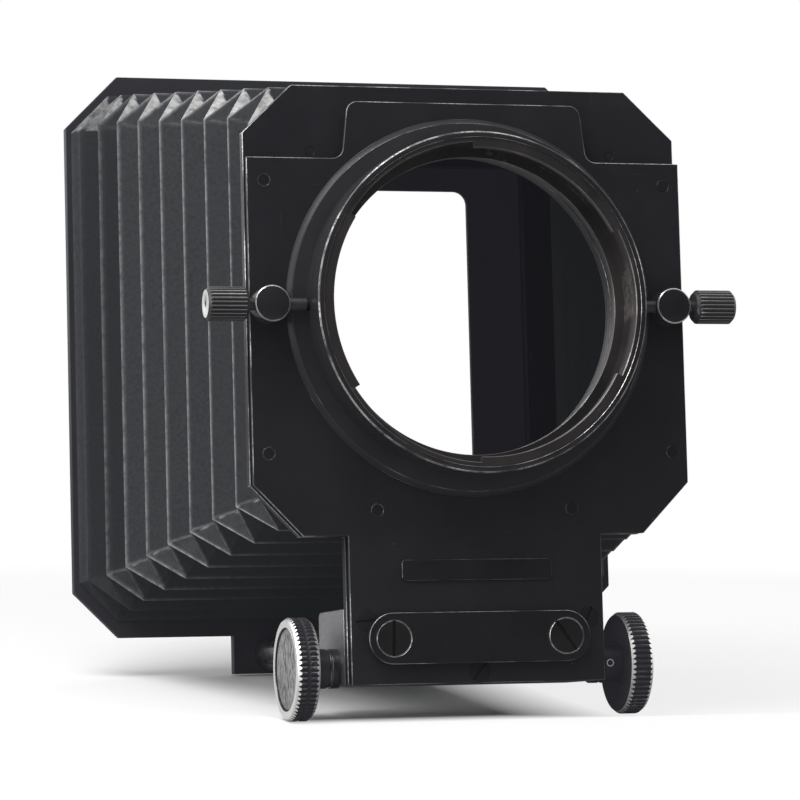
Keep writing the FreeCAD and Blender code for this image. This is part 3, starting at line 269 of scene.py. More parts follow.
def screw_tree():
    """A turned head with a chamfered rim and a cut slot, on a shank, set on every spot."""
    sizes = ("Head Radius", "Head Height", "Rim", "Shank Radius", "Shank Length", "Slot Width", "Slot Depth")
    inputs = [("Spots", "Geometry")] + [(word, "Float") for word in sizes]
    inputs += [("Lean", "Rotation"), ("Finish", "Material")]
    tree, size, done = shape_tree("turned_screw", inputs, "Screws")
    radius, height, rim = size["Head Radius"], size["Head Height"], size["Rim"]
    turned = put(tree, "GeometryNodeMeshCylinder", {"fill_type": "NGON"}, Vertices=SCREW_SIDES, Radius=radius,
                 Depth=reckoned(tree, height, rim, "SUBTRACT"))
    head_middle = reckoned(tree, reckoned(tree, height, rim, "ADD"), -0.5)
    lowered = put(tree, "GeometryNodeTransform", Geometry=turned["Mesh"],
                  Translation=put(tree, "CombineXYZ", Z=head_middle)[0])
    raised = put(tree, "GeometryNodeExtrudeMesh", {"mode": "FACES"}, Individual=False, Mesh=lowered[0],
                 Selection=turned["Top"], Offset_Scale=rim)
    inner = reckoned(tree, radius, rim, "SUBTRACT")
    narrowed = put(tree, "GeometryNodeScaleElements", {"domain": "FACE"}, Geometry=raised["Mesh"],
                   Selection=raised["Top"], Scale=reckoned(tree, inner, radius, "DIVIDE"))
    marked = put(tree, "GeometryNodeStoreNamedAttribute", {"data_type": "FLOAT", "domain": "FACE"},
                 Name="wear", Value=1.0, Geometry=narrowed[0], Selection=raised["Side"])
    span = put(tree, "CombineXYZ", X=size["Slot Width"], Y=reckoned(tree, radius, 3.0),
               Z=reckoned(tree, size["Slot Depth"], 2.0))
    block = put(tree, "GeometryNodeMeshCube", Size=span[0])
    slotted = put(tree, "GeometryNodeMeshBoolean", {"operation": "DIFFERENCE", "solver": "EXACT"},
                  Mesh_1=marked[0], Mesh_2=block["Mesh"])
    shank = put(tree, "GeometryNodeMeshCylinder", {"fill_type": "NGON"}, Vertices=SCREW_SIDES // 2,
                Radius=size["Shank Radius"], Depth=size["Shank Length"])
    shank_middle = reckoned(tree, reckoned(tree, size["Shank Length"], -0.5), height, "SUBTRACT")
    hung = put(tree, "GeometryNodeTransform", Geometry=shank["Mesh"],
               Translation=put(tree, "CombineXYZ", Z=shank_middle)[0])
    whole = put(tree, "GeometryNodeJoinGeometry", Geometry=[slotted["Mesh"], hung[0]])
    turn = put(tree, "GeometryNodeInputNamedAttribute", {"data_type": "FLOAT"}, Name="turn")["Attribute"]
    twist = put(tree, "FunctionNodeAxisAngleToRotation", Axis=(0, 0, 1), Angle=turn)
    leant = put(tree, "FunctionNodeRotateRotation", {"rotation_space": "LOCAL"}, Rotation=size["Lean"],
                Rotate_By=twist[0])
    placed = put(tree, "GeometryNodeInstanceOnPoints", Points=size["Spots"], Instance=whole[0],
                 Rotation=leant[0])
    real = put(tree, "GeometryNodeRealizeInstances", Geometry=placed[0])
    plug(tree, done, put(tree, "GeometryNodeSetMaterial", Geometry=real[0], Material=size["Finish"])[0])
    return tree


def grown(name, mesh, tree, **values):
    """Runs a tree on a mesh with its named inputs, and keeps the result as a plain mesh."""
    start = placed_in_scene(name + "_start", mesh)
    step = start.modifiers.new("made", "NODES")
    step.node_group = tree
    for item in tree.interface.items_tree:
        if item.in_out == "INPUT" and item.name.replace(" ", "_") in values:
            step[item.identifier] = values[item.name.replace(" ", "_")]
    seen = start.evaluated_get(bpy.context.evaluated_depsgraph_get())
    made = bpy.data.meshes.new_from_object(seen)
    start.modifiers.remove(step)
    bpy.data.objects.remove(start)
    made.name = name
    smoothed(made)
    return made


def screws(name, node, body, finish, spots, facing, head, shank, cut, turns, rim=0.15):
    """Slotted screws whose heads' outer faces lie on the spots and face along Y. Head and shank are radius
    and length, and the cut is width and depth, in millimetres. Turns are the angles of the slots."""
    points = bpy.data.meshes.new(name + "_spots")
    points.from_pydata([Vector(spot) * MM for spot in spots], [], [])
    turn = points.attributes.new("turn", "FLOAT", "POINT")
    for index in range(len(spots)):
        turn.data[index].value = math.radians(turns[index % len(turns)])
    mesh = grown(name, points, turned_screw, Head_Radius=head[0] * MM, Head_Height=head[1] * MM,
                 Rim=rim * MM, Shank_Radius=shank[0] * MM, Shank_Length=shank[1] * MM,
                 Slot_Width=cut[0] * MM, Slot_Depth=cut[1] * MM,
                 Lean=(math.radians(-90.0 * facing), 0.0, 0.0), Finish=finish)
    fitted(name, mesh, None, body, "black_steel", node)


def all_corners(x, y, z):
    return [(across * x, y, up * z) for across in (-1, 1) for up in (-1, 1)]


turned_screw = screw_tree()
blackened_steel = painted("blackened_steel", (0.016, 0.016, 0.018), (0.03, 0.029, 0.03), 0.34, BARE_STEEL,
                          chip=0.6, specular=0.5)
# The pins and the neck screws get a faint painted glow.
pin_black = painted("pin_black", (0.0125, 0.0121, 0.0148), (0.0185, 0.018, 0.0215), 0.4, grey(0.3),
                    chip=0.4, specular=0.3, painted_glow=0.003)
neck_black = painted("neck_screw_black", (0.0125, 0.012, 0.0152), (0.019, 0.0185, 0.0215), 0.42, grey(0.06),
                     chip=0.25, specular=0.25, painted_glow=0.003)
screws("flush_rivets", "plate_rivets", "front_standard", pin_black, RIVETS, FORWARD, head=(1.5, 6.2),
       shank=(1.2, 0.0), cut=(0.1, -0.1), turns=(0,), rim=0.1)
screws("neck_fixings", "neck_screws", "front_standard", neck_black, NECK_SCREWS, FORWARD, head=(2.7, 1.0),
       shank=(1.25, 8.0), cut=(0.5, 0.3), turns=(94, -24, -38), rim=0.1)

# ---- Nameplate
# A small bright-edged strip under the collar, of dark anodised aluminium. It is bare, and cemented to the
# cover plate.

strip_metal = painted("nameplate_metal", (0.017, 0.0168, 0.0195), (0.026, 0.0255, 0.029), 0.32,
                      (0.5, 0.5, 0.52), chip=0.7, specular=0.4, haze=0.2)
edged("bare_nameplate", "nameplate", strip_metal, "front_standard", "nameplate_metal", 0.09 * MM)

# ---- Lens collar
# A flat bevelled flange, screwed on from behind, and the glossy barrel that stands on it. Both are turned
# from aluminium and blackened, and their bevels have lost most of the black.

CHAMFER_LEAST, CHAMFER_MOST = 0.3, 0.95
LITTLE_WORN = 0.5


def turned_bevels(piece, bare):
    """Marks the bevels that were turned on a round piece, so that they show as much metal as bare says."""
    wear = piece.data.attributes["wear"].data
    for face in piece.data.polygons:
        chamfered = CHAMFER_LEAST < abs(face.normal.y) < CHAMFER_MOST
        if chamfered and wear[face.index].value < LITTLE_WORN:
            wear[face.index].value = bare


# The collar's blacks get a painted glow.
gloss_black = painted("gloss_black_collar", (0.0145, 0.0137, 0.0153), (0.025, 0.024, 0.0255), 0.22,
                      (0.72, 0.7, 0.69), chip=0.7, specular=0.42, haze=0.25, painted_glow=0.006)
flange_black = painted("flange_black", (0.017, 0.016, 0.018), (0.027, 0.026, 0.0275), 0.34,
                       (0.5, 0.49, 0.48), chip=0.4, specular=0.2, haze=0.25, painted_glow=0.007)
edged("bevelled_flange", "collar_flange", flange_black, "front_standard", "gloss_black", 0.08 * MM)
barrel = edged("glossy_barrel", "lens_collar", gloss_black, "front_standard", "gloss_black", 0.09 * MM)
turned_bevels(barrel, 0.8)
screws("flange_screws", "collar_screws", "front_standard", blackened_steel, all_corners(41.2, 6.2, 15.0),
       BACKWARD, head=(1.9, 1.0), shank=(1.0, 6.3), cut=(0.6, 0.5), turns=(45, 10, 70, 20))

# ---- Bayonet ring
# Turned from brass and blackened, now brown-grey where lens mounts have rubbed it. It turns freely in the
# barrel's groove, and three lugs reach inwards from its front edge.

LUGS = 3
LUG_HALF = 32.5
LUG_STEPS, GAP_STEPS = 26, 20
RING_BACK = [(36.2, -1.75, 0.0), (40.5, -1.75, 0.0), (40.5, -5.0, 0.0), (39.75, -5.0, 0.0),
             (39.75, -12.05, 1.3), (39.6, -12.2, 0.35)]
RING_AT_LUG = [(37.5, -12.2, 1.25), (37.3, -12.0, 0.5), (37.3, -10.6, 1.0), (37.5, -10.4, 0.2),
               (38.65, -10.4, 0.66)]
RING_AT_GAP = [(38.85, -12.2, 1.25), (38.65, -12.0, 0.35), (38.65, -11.5, 0.35), (38.65, -11.0, 0.35),
               (38.65, -10.4, 0.66)]
RING_FLOOR = [(38.65, -3.15, 0.4), (36.35, -3.15, 1.2), (36.2, -3.0, 0.5)]
JOIN_GAP = 0.003 * MM
SLIVER = 1e-7


def sector(name, columns, axis, closed=True):
    """One step of a piece that repeats round its axis. Each column is an angle and a profile, which lists
    (radius, along, wear) in millimetres."""
    shape = bmesh.new()
    wear = shape.faces.layers.float.new("wear")
    lines = []
    for angle, profile in columns:
        across, up = math.cos(angle) * MM, math.sin(angle) * MM
        spots = [(r * across, y * MM, r * up) if axis == "Y" else (y * MM, r * across, r * up)
                 for r, y, _ in profile]
        lines.append([shape.verts.new(spot) for spot in spots])
    for (_, profile), line, following in zip(columns, lines, lines[1:]):
        for index in range(len(line) if closed else len(line) - 1):
            after = (index + 1) % len(line)
            face = shape.faces.new((line[index], line[after], following[after], following[index]))
            face[wear] = profile[index][2]
    return mesh_from(name, shape)


def round_tree():
    """Repeats one sector round an axis, joins the copies into one skin and gives it its finish."""
    inputs = [("Sector", "Geometry"), ("Count", "Int"), ("Axis", "Vector"), ("Centre", "Vector"),
              ("Finish", "Material")]
    tree, given, done = shape_tree("round_an_axis", inputs, "Skin")
    middle = put(tree, "GeometryNodeMeshLine", Count=given["Count"], Start_Location=given["Centre"],
                 Offset=(0, 0, 0))
    step = reckoned(tree, math.tau, given["Count"], "DIVIDE")
    angle = reckoned(tree, put(tree, "GeometryNodeInputIndex")[0], step)
    turn = put(tree, "FunctionNodeAxisAngleToRotation", Axis=given["Axis"], Angle=angle)
    placed = put(tree, "GeometryNodeInstanceOnPoints", Points=middle[0], Instance=given["Sector"],
                 Rotation=turn[0])
    real = put(tree, "GeometryNodeRealizeInstances", Geometry=placed[0])
    joined = put(tree, "GeometryNodeMergeByDistance", Distance=JOIN_GAP, Geometry=real[0])
    plug(tree, done, put(tree, "GeometryNodeSetMaterial", Geometry=joined[0], Material=given["Finish"])[0])
    return tree


def faced_out(mesh):
    """Turns every face of a closed skin outwards."""
    shape = bmesh.new()
    shape.from_mesh(mesh)
    bmesh.ops.dissolve_degenerate(shape, dist=SLIVER, edges=shape.edges)
    bmesh.ops.recalc_face_normals(shape, faces=shape.faces)
    shape.to_mesh(mesh)
    shape.free()
    smoothed(mesh)
    return mesh


def turned_round(name, part, count, axis, centre, finish):
    """A whole skin, turned round an axis from one step of it."""
    line = (0.0, 1.0, 0.0) if axis == "Y" else (1.0, 0.0, 0.0)
    skin = grown(name, part, round_an_axis, Count=count, Axis=line, Centre=[at * MM for at in centre],
                 Finish=finish)
    return faced_out(skin)


def ring_columns():
    """A third of the ring: one lug with half a gap on each side."""
    gap_half = 180.0 / LUGS
    at_gap = RING_BACK + RING_AT_GAP + RING_FLOOR
    at_lug = RING_BACK + RING_AT_LUG + RING_FLOOR
    columns = []
    for start, end, steps, profile in ((-gap_half, -LUG_HALF, GAP_STEPS, at_gap),
                                       (-LUG_HALF, LUG_HALF, LUG_STEPS, at_lug),
                                       (LUG_HALF, gap_half, GAP_STEPS, at_gap)):
        columns += [(start + (end - start) * step / steps, profile) for step in range(steps + 1)]
    return [(math.radians(180.0 + angle), profile) for angle, profile in columns]


round_an_axis = round_tree()
# With a faint painted glow.
rubbed_brown = painted("rubbed_brown_ring", (0.0175, 0.0162, 0.0162), (0.047, 0.042, 0.039), 0.36,
                       (0.34, 0.315, 0.295), chip=0.45, specular=0.4, haze=0.5, painted_glow=0.004)
ring = turned_round("lugged_ring", sector("ring_sector", ring_columns(), "Y"), LUGS, "Y", (0, 0, 0),
                    rubbed_brown)
fitted("lugged_ring", ring, None, "lens_ring", "ring_metal", "bayonet_ring")

# ---- Clamp posts and thumbscrews
# Round black posts riveted through the layers, each cross-drilled for a thumbscrew whose nylon tip presses on
# the ring. The screws have thin necks and straight-knurled heads with bevelled ends and a centre dimple. A
# highlight is painted along the top of each head.

SCREW_LINE = -3.35
KNURLS, KNURL_DEEP = 26, 0.34
HEAD_START, HEAD_END, HEAD_RADIUS, HEAD_BEVEL = 56.5, 66.6, 4.15, 0.8
NECK_RADIUS, NECK_TIP = 1.5, 42.0
HIGHLIGHT_FACING, TOP_HIGHLIGHT = 0.96, 1.6


def thumbscrew_sector(sign):
    """One knurl: a flat-topped ridge between two valleys, cut through by the bevels at both ends."""
    rim = HEAD_RADIUS - HEAD_BEVEL
    columns = []
    for share, ridge, top in ((-0.5, 0, 0.35), (-0.22, 1, 1.3), (-0.1, 1, 0.35), (0.2, 1, 0.35),
                              (0.5, 0, 0.35)):
        radius = HEAD_RADIUS - KNURL_DEEP * (1 - ridge)
        rise = radius - rim
        profile = [(0.0, NECK_TIP, 0.0), (NECK_RADIUS, NECK_TIP, 0.0), (NECK_RADIUS, HEAD_START, 0.0),
                   (rim, HEAD_START, 0.3), (radius, HEAD_START + rise, top), (radius, HEAD_END - rise, 0.8),
                   (rim, HEAD_END, 2.0), (0.9, HEAD_END, 1.2), (0.7, HEAD_END - 0.1, 0.5),
                   (0.0, HEAD_END - 0.5, 0.0)]
        columns.append((math.tau / KNURLS * share, [(r, sign * x, w) for r, x, w in profile]))
    return sector("knurl", columns, "X", closed=False)


def necked_and_highlit(mesh):
    """Blackens the neck of a thumbscrew, and paints a highlight on the top ridge of its head, bright as
    bare metal.
    """
    mesh.materials.append(spacer_black)
    wear = mesh.attributes["wear"].data
    for face in mesh.polygons:
        if abs(face.center.x) < (HEAD_START - 0.1) * MM:
            face.material_index = 1
        # A painted highlight: the upward-facing top of the head is made bright like bare metal.
        elif face.normal.z > HIGHLIGHT_FACING and abs(face.center.z) > (HEAD_RADIUS - 0.2) * MM:
            wear[face.index].value = TOP_HIGHLIGHT


# With a faint painted glow.
knurled_black = painted("knurled_black", (0.036, 0.034, 0.036), (0.06, 0.056, 0.058), 0.34,
                        (0.86, 0.85, 0.85), chip=0.5, specular=0.4, haze=0.3, painted_glow=0.004)
pad_nylon = painted("pad_nylon", (0.01, 0.0098, 0.01), (0.016, 0.0155, 0.0158), 0.6, grey(0.05), chip=0.1,
                    specular=0.15)
for side, sign in (("left", -1), ("right", 1)):
    post = edged("round_post_" + side, "clamp_post_" + side, gloss_black, "front_standard", "gloss_black",
                 0.05 * MM)
    turned_bevels(post, 1.25)
    knurl = turned_round("knurled_screw_" + side, thumbscrew_sector(sign), KNURLS, "X", (0, SCREW_LINE, 0),
                         knurled_black)
    necked_and_highlit(knurl)
    fitted("knurled_screw_" + side, knurl, None, "clamp_screw_" + side, "bright_steel", "thumbscrew_" + side)
    edged("nylon_tip_" + side, "pressure_pad_" + side, pad_nylon, "clamp_pad_" + side, "pad_nylon",
          0.12 * MM, 2)

# ---- Rack housing, bushes and washers
# A grey metal block behind the neck, bored for both rods and the knob shaft, its rear top edge rounded.
# Glossy bushes carry the shaft on both sides, with spring washers between them and the knobs.

housing_grey = painted("housing_grey", (0.36, 0.357, 0.37), (0.44, 0.437, 0.45), 0.42, BARE_STEEL,
                       chip=0.45, metallic=0.85, haze=0.6, pits=0.5)
spring_steel = painted("spring_steel", (0.32, 0.32, 0.33), (0.22, 0.22, 0.225), 0.3, grey(0.6), chip=0.5,
                       metallic=1.0, haze=0.5)
edged("rod_housing", "rack_housing", housing_grey, "front_standard", "black_frame", 0.2 * MM)
edged("spring_washers", "drag_washers", spring_steel, "front_standard", "bright_steel", 0.06 * MM)
for side in ("left", "right"):
    edged("glossy_bush_" + side, "shaft_bush_" + side, gloss_black, "front_standard", "black_frame",
          0.2 * MM, 2)

# ---- Knob shaft and focusing knobs
# Knurled knobs with bright outer edges. The left one's knurl is parted by a groove, and a grained grey disc
# is let into each face. A steel shaft with two brass pinions joins them, held by a set screw in each hub.

SHAFT_BACK, SHAFT_LOW = 13.0, -86.6
TEETH, TOOTH_DEEP = 60, 0.55
KNOB_RADIUS, KNOB_BEVEL, KNOB_BORE, HUB_RADIUS = 12.5, 0.7, 1.55, 4.8
DISC_RADIUS, DISC_GAP, DISC_SIDES = 10.0, 0.25, 64
HUB_IN, KNOB_IN, KNOB_OUT, RECESS, DISC_OUT = 34.9, 39.3, 44.9, 44.1, 44.5
GROOVE_HALF, GROOVE_RADIUS, BEVEL_RUN = 0.15, 12.05, 1.3
CLOTH_GLOW_TINT = (0.92, 1.0, 1.12)


def knob_sector(sign, grooved):
    """One tooth of the knob's knurl, with the hub, bright bevels and recess that run round it."""
    middle = (KNOB_IN + KNOB_OUT) / 2
    rim = KNOB_RADIUS - KNOB_BEVEL
    columns = []
    for share, ridge, top in ((-0.5, 0, 0.1), (-0.2, 1, 0.92), (-0.13, 1, 0.1), (0.14, 1, 0.1),
                              (0.5, 0, 0.1)):
        radius = KNOB_RADIUS - TOOTH_DEEP * (1 - ridge)
        run = (radius - rim) * BEVEL_RUN
        dip = GROOVE_HALF + radius - GROOVE_RADIUS
        profile = [(KNOB_BORE, HUB_IN, 0.0), (HUB_RADIUS - 0.2, HUB_IN, 0.9), (HUB_RADIUS, HUB_IN + 0.2, 0.0),
                   (HUB_RADIUS, KNOB_IN, 0.0), (rim - 0.9, KNOB_IN, 0.0), (rim - 0.75, KNOB_IN, 0.0),
                   (rim, KNOB_IN, 1.5), (radius, KNOB_IN + run, top)]
        if grooved:
            profile += [(radius, middle - dip, 0.0), (GROOVE_RADIUS, middle - GROOVE_HALF, 0.0),
                        (GROOVE_RADIUS, middle + GROOVE_HALF, 0.0), (radius, middle + dip, top)]
        profile += [(radius, KNOB_OUT - run, 2.0), (rim, KNOB_OUT, 2.0), (rim - 0.2, KNOB_OUT, 2.0),
                    (DISC_RADIUS + 0.15, KNOB_OUT, 0.9), (DISC_RADIUS, KNOB_OUT - 0.15, 0.0),
                    (DISC_RADIUS, RECESS, 0.0), (KNOB_BORE, RECESS, 0.0)]
        columns.append((math.tau / TEETH * share, [(r, sign * x, w) for r, x, w in profile]))
    return sector("tooth", columns, "X")


def disc_sector(sign):
    """A slice of the disc, which lies a little below the knob's face and leaves a dark gap round itself."""
    rim = DISC_RADIUS - DISC_GAP
    profile = [(0.0, DISC_OUT), (rim - 0.12, DISC_OUT), (rim, DISC_OUT - 0.1), (rim, RECESS), (0.0, RECESS)]
    columns = [(math.tau / DISC_SIDES * step, [(r, sign * x, 0.0) for r, x in profile]) for step in (0, 1)]
    return sector("disc_slice", columns, "X", closed=False)


def grained(name, colour, worn_and_lit_colour, roughness, cell, height, contrast, wrinkle, specular=0.4, stretch=1.0,
            painted_glow=0.0):
    """Leathercloth: a pebbled grain with fine creases, darker in the hollows between the pebbles, and pale
    where it is rubbed at its folds and where light is painted on it. Cell is how many pebbles go to the
    metre."""
    made, tree, cloth = blank_material(name)
    place = put(tree, "TexCoord")["Object"]
    wander = put(tree, "TexNoise", Vector=place, Scale=cell * 0.5, Detail=2.0)["Color"]
    shift = put(tree, "VectorMath", {"operation": "SCALE"}, Vector=wander, Scale=0.9 / cell)[0]
    drawn = put(tree, "Mapping", Vector=place, Scale=(1.0, 1.0, 1.0 / stretch))[0]
    moved = reckoned(tree, drawn, shift, "ADD", "ShaderNodeVectorMath")
    pebbles = put(tree, "TexVoronoi", {"feature": "SMOOTH_F1"}, Vector=moved, Scale=cell)["Distance"]
    creases = grain(tree, cell * 0.35, 5, rough=0.6)
    cloud = ranged(tree, grain(tree, 40, 4, rough=0.6), 0.35, 0.68)
    rubbed_and_lit_patches = ranged(tree, grain(tree, 450, 5, rough=0.7), 0.34, 0.6, 0.35, 1.0)
    # Pale where the cloth is rubbed, and on the bellows' upper corners where light is painted on.
    scuff_and_light = reckoned(tree, put(tree, "Attribute", {"attribute_name": "wear"})["Fac"], rubbed_and_lit_patches)
    lighter = tuple(min(1.0, channel * (1 + contrast)) for channel in colour)
    darker = tuple(channel * (1 - contrast) for channel in colour)
    base = blended(tree, cloud, colour, lighter)
    # Darker in the hollows between the pebbles.
    base = blended(tree, ranged(tree, pebbles, 0.25, 0.75), base, darker)
    plug(tree, cloth["Base Color"], blended(tree, scuff_and_light, base, worn_and_lit_colour))
    plug(tree, cloth["Roughness"], ranged(tree, pebbles, 0.2, 0.8, roughness - 0.06, roughness + 0.12))
    plug(tree, cloth["Specular IOR Level"], specular)
    # A painted glow: an emission that lifts the dark cloth, standing in for stray light in front of it.
    if painted_glow:
        plug(tree, cloth["Emission Color"], CLOTH_GLOW_TINT)
        plug(tree, cloth["Emission Strength"], painted_glow)
    rough = put(tree, "Bump", {"invert": True}, Height=pebbles, Strength=0.55, Distance=height)
    lined = put(tree, "Bump", Height=creases, Strength=wrinkle, Distance=height, Normal=rough[0])
    plug(tree, cloth["Normal"], lined[0])
    return made


def refinished(node, finish):
    """A node whose own shape is right keeps it, and gets its finish."""
    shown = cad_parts[node]
    for place in shown.material_slots:
        place.material = finish
    if not shown.material_slots:
        shown.data.materials.append(finish)


# With a painted glow that lifts the knob's dark faces.
knob_black = painted("knob_black", (0.021, 0.0195, 0.0232), (0.038, 0.035, 0.039), 0.4, (1.0, 0.99, 0.98),
                     chip=0.45, specular=0.25, haze=0.3, painted_glow=0.012)
disc_grey = grained("disc_leathercloth", (0.225, 0.225, 0.229), grey(0.3), 0.6, 1500, 0.9 * MM,
                    contrast=0.75, wrinkle=0.6, stretch=3.0)
ground_steel = painted("ground_steel", (0.55, 0.55, 0.56), (0.42, 0.42, 0.43), 0.27, grey(0.6), chip=0.2,
                       metallic=1.0, haze=0.4, pits=0.01)
pinion_brass = painted("pinion_brass", (0.45, 0.30, 0.12), (0.30, 0.19, 0.07), 0.3, (0.6, 0.45, 0.2),
                       chip=0.3, metallic=1.0, haze=0.5)
for side, sign in (("left", -1), ("right", 1)):
    knob = turned_round("knurled_knob_" + side, knob_sector(sign, side == "left"), TEETH, "X",
                        (0, SHAFT_BACK, SHAFT_LOW), knob_black)
    fitted("knurled_knob_" + side, knob, None, "focus_shaft", "knob_black", "knob_" + side)
    disc = turned_round("grained_disc_" + side, disc_sector(sign), DISC_SIDES, "X",
                        (0, SHAFT_BACK, SHAFT_LOW), disc_grey)
    fitted("grained_disc_" + side, disc, None, "focus_shaft", "knob_leather", "knob_disc_" + side)
    refinished("pinion_" + side, pinion_brass)
refinished("drive_shaft", ground_steel)

SET_SCREW_SIDES, SET_SCREW_AT = 24, 36.2
SET_SCREW = [(0.0, -3.9, 0.0), (0.4, -3.9, 0.0), (0.62, -4.3, 0.0), (0.68, -4.8, 2.0), (0.95, -4.8, 0.0),
             (0.95, -1.5, 0.0), (0.0, -1.5, 0.0)]


def hollow_set_screws():
    """Both set screws, each a short pin with a worn rim, painted near-white as a glint, round a dark
    driving recess.
    """
    columns = [(math.tau / SET_SCREW_SIDES * step, SET_SCREW) for step in (0, 1)]
    pin = turned_round("set_screw", sector("set_screw_side", columns, "Y", closed=False), SET_SCREW_SIDES,
                       "Y", (0, 0, 0), rubbed_rim)
    shape = bmesh.new()
    shape.from_mesh(pin)
    right = list(shape.verts)
    left = [spot for spot in bmesh.ops.duplicate(shape, geom=shape.faces[:])["geom"]
            if isinstance(spot, bmesh.types.BMVert)]
    bmesh.ops.rotate(shape, verts=left, cent=(0, 0, 0), matrix=Matrix.Rotation(math.pi, 3, "Z"))
    for spots, x in ((right, SET_SCREW_AT), (left, -SET_SCREW_AT)):
        bmesh.ops.translate(shape, verts=spots, vec=Vector((x, SHAFT_BACK, SHAFT_LOW)) * MM)
    shape.to_mesh(pin)
    shape.free()
    return pin


# Worn steel rims, painted near-white and not metallic, as a painted glint.
rubbed_rim = painted("rubbed_rim", (0.012, 0.0115, 0.013), (0.02, 0.019, 0.021), 0.4, (0.95, 0.95, 0.94),
                     chip=0.9, metallic=0.05)
fitted("hollow_set_screws", hollow_set_screws(), None, "focus_shaft", "black_steel", "knob_set_screws")

# ---- Rods and end cap
# Two polished steel rods with racks cut along their undersides. The black cap across their front ends is held
# by a large slotted screw in each rod, and its rim is worn bright.

ROD_AT, ROD_LOW = 21.7, -80
# With a faint painted glow.
cap_black = painted("cap_black", (0.0115, 0.0111, 0.0145), (0.0185, 0.018, 0.021), 0.36, BARE_STEEL,
                    chip=0.6, specular=0.35, painted_glow=0.003)
cap_steel = painted("cap_screw_steel", (0.014, 0.0135, 0.0155), (0.03, 0.029, 0.03), 0.3,
                    (0.6, 0.58, 0.57), chip=0.85, specular=0.45)
for side in ("left", "right"):
    refinished("rail_rod_" + side, ground_steel)
edged("rod_end_cap", "rail_end_cap", cap_black, "rear_standard", "black_plate", 0.13 * MM)
screws("cap_fixings", "end_cap_screws", "rear_standard", cap_steel, both_sides(ROD_AT, -1.8, ROD_LOW),
       FORWARD, head=(4.35, 1.0), shank=(1.5, 9.8), cut=(0.8, 0.5), turns=(-2, 35), rim=0.2)
screws("rod_end_fixings", "rod_rear_screws", "rear_standard", blackened_steel,
       both_sides(ROD_AT, 122.8, ROD_LOW), BACKWARD, head=(3.2, 1.8), shank=(1.5, 12.0), cut=(0.8, 0.8),
       turns=(20, 75), rim=0.25)

# ---- Rear frame and mask
# A flat black frame with cut corners, and a leg that carries the rods. The mask plate with its rounded window
# is screwed on from behind.

# Both with a painted glow; the mask's is the strongest and lifts the dark inside of the bellows.
frame_black = painted("rear_frame_black", (0.027, 0.028, 0.032), (0.036, 0.037, 0.042), 0.45, grey(0.05),
                      chip=0.2, specular=0.2, scratch=0.0, painted_glow=0.008)
mask_black = painted("mask_black", (0.02, 0.02, 0.023), (0.03, 0.03, 0.034), 0.5, grey(0.2), chip=0.2,
                     specular=0.2, scratch=0.0, painted_glow=0.0135)
edged("far_frame", "rear_frame", frame_black, "rear_standard", "black_frame")
edged("window_mask", "mask_plate", mask_black, "rear_standard", "black_plate", 0.15 * MM)
screws("mask_fixings", "mask_screws", "rear_standard", blackened_steel, all_corners(60.8, 123.5, 60.8),
       BACKWARD, head=(1.9, 1.0), shank=(1.0, 4.5), cut=(0.6, 0.5), turns=(15, 60, 100, 140))

# ---- Bellows
# Leathercloth over thin card, folded in pleats that widen towards the rear, with its corners creased to and
# fro. The last pleats are gathered and flare out to the frame. Flat frames clamp both ends from inside. Light
# from above is painted on the upward-facing halves of the upper corners.

FRONT_Y, REAR_Y, FIRST_RIDGE, HALF_PITCH, REGULAR_FOLDS = 6.5, 117.7, 20.9, 7.8503, 12
GATHERS, GATHER_PITCH = 4, 2.6118
FRONT_HALF, REAR_HALF, SIDE_EXTRA, SIDE_FLARE, TOP_FLARE = 52.4, 67.1, 0.4, 6.1, 3.4
TOP_RISE, TOP_RISE_MORE, PULL = 1.6, 2.3, 1.7
PLEAT_DEEP, RIDGE_CORNER, CORNER_FLARE, VALLEY_CORNER, SKIN = 8.0, 7.5, 2.7, 9.0, 0.6
SWELL, WALL_LOOSE, CORNER_LOOSE = 0.3, 0.22, 0.3
RIDGE_PALE, RIDGE_FADE, LINE_WIDTH, LINE_WIDENS = 0.42, 0.26, 0.27, 0.55
TOP_CORNER_LIGHT, TOP_CORNER_LIGHT_FADE, GATHER_TOP_LIGHT, HARDLY_PALE = 0.86, 0.42, 0.3, 0.02
CLOTH_ANGLE = math.radians(40)
LEFT_WALL, RIGHT_WALL = 3, 7
CROSS_STEPS = (0.0, 0.012, 0.03, 0.06, 0.11, 0.2, 0.35, 0.5, 0.65, 0.8, 0.89, 0.94, 0.97, 0.988, 1.0)
CREASE_STEPS = (0.0, 0.08, 0.22, 0.4, 0.6, 0.78, 0.92, 1.0)
LONG_STEPS = (0.0, 0.003, 0.01, 0.025, 0.045, 0.06, 0.1, 0.2, 0.35, 0.5, 0.65, 0.8, 0.9, 0.94, 0.955, 0.975,
              0.99, 0.997, 1.0)


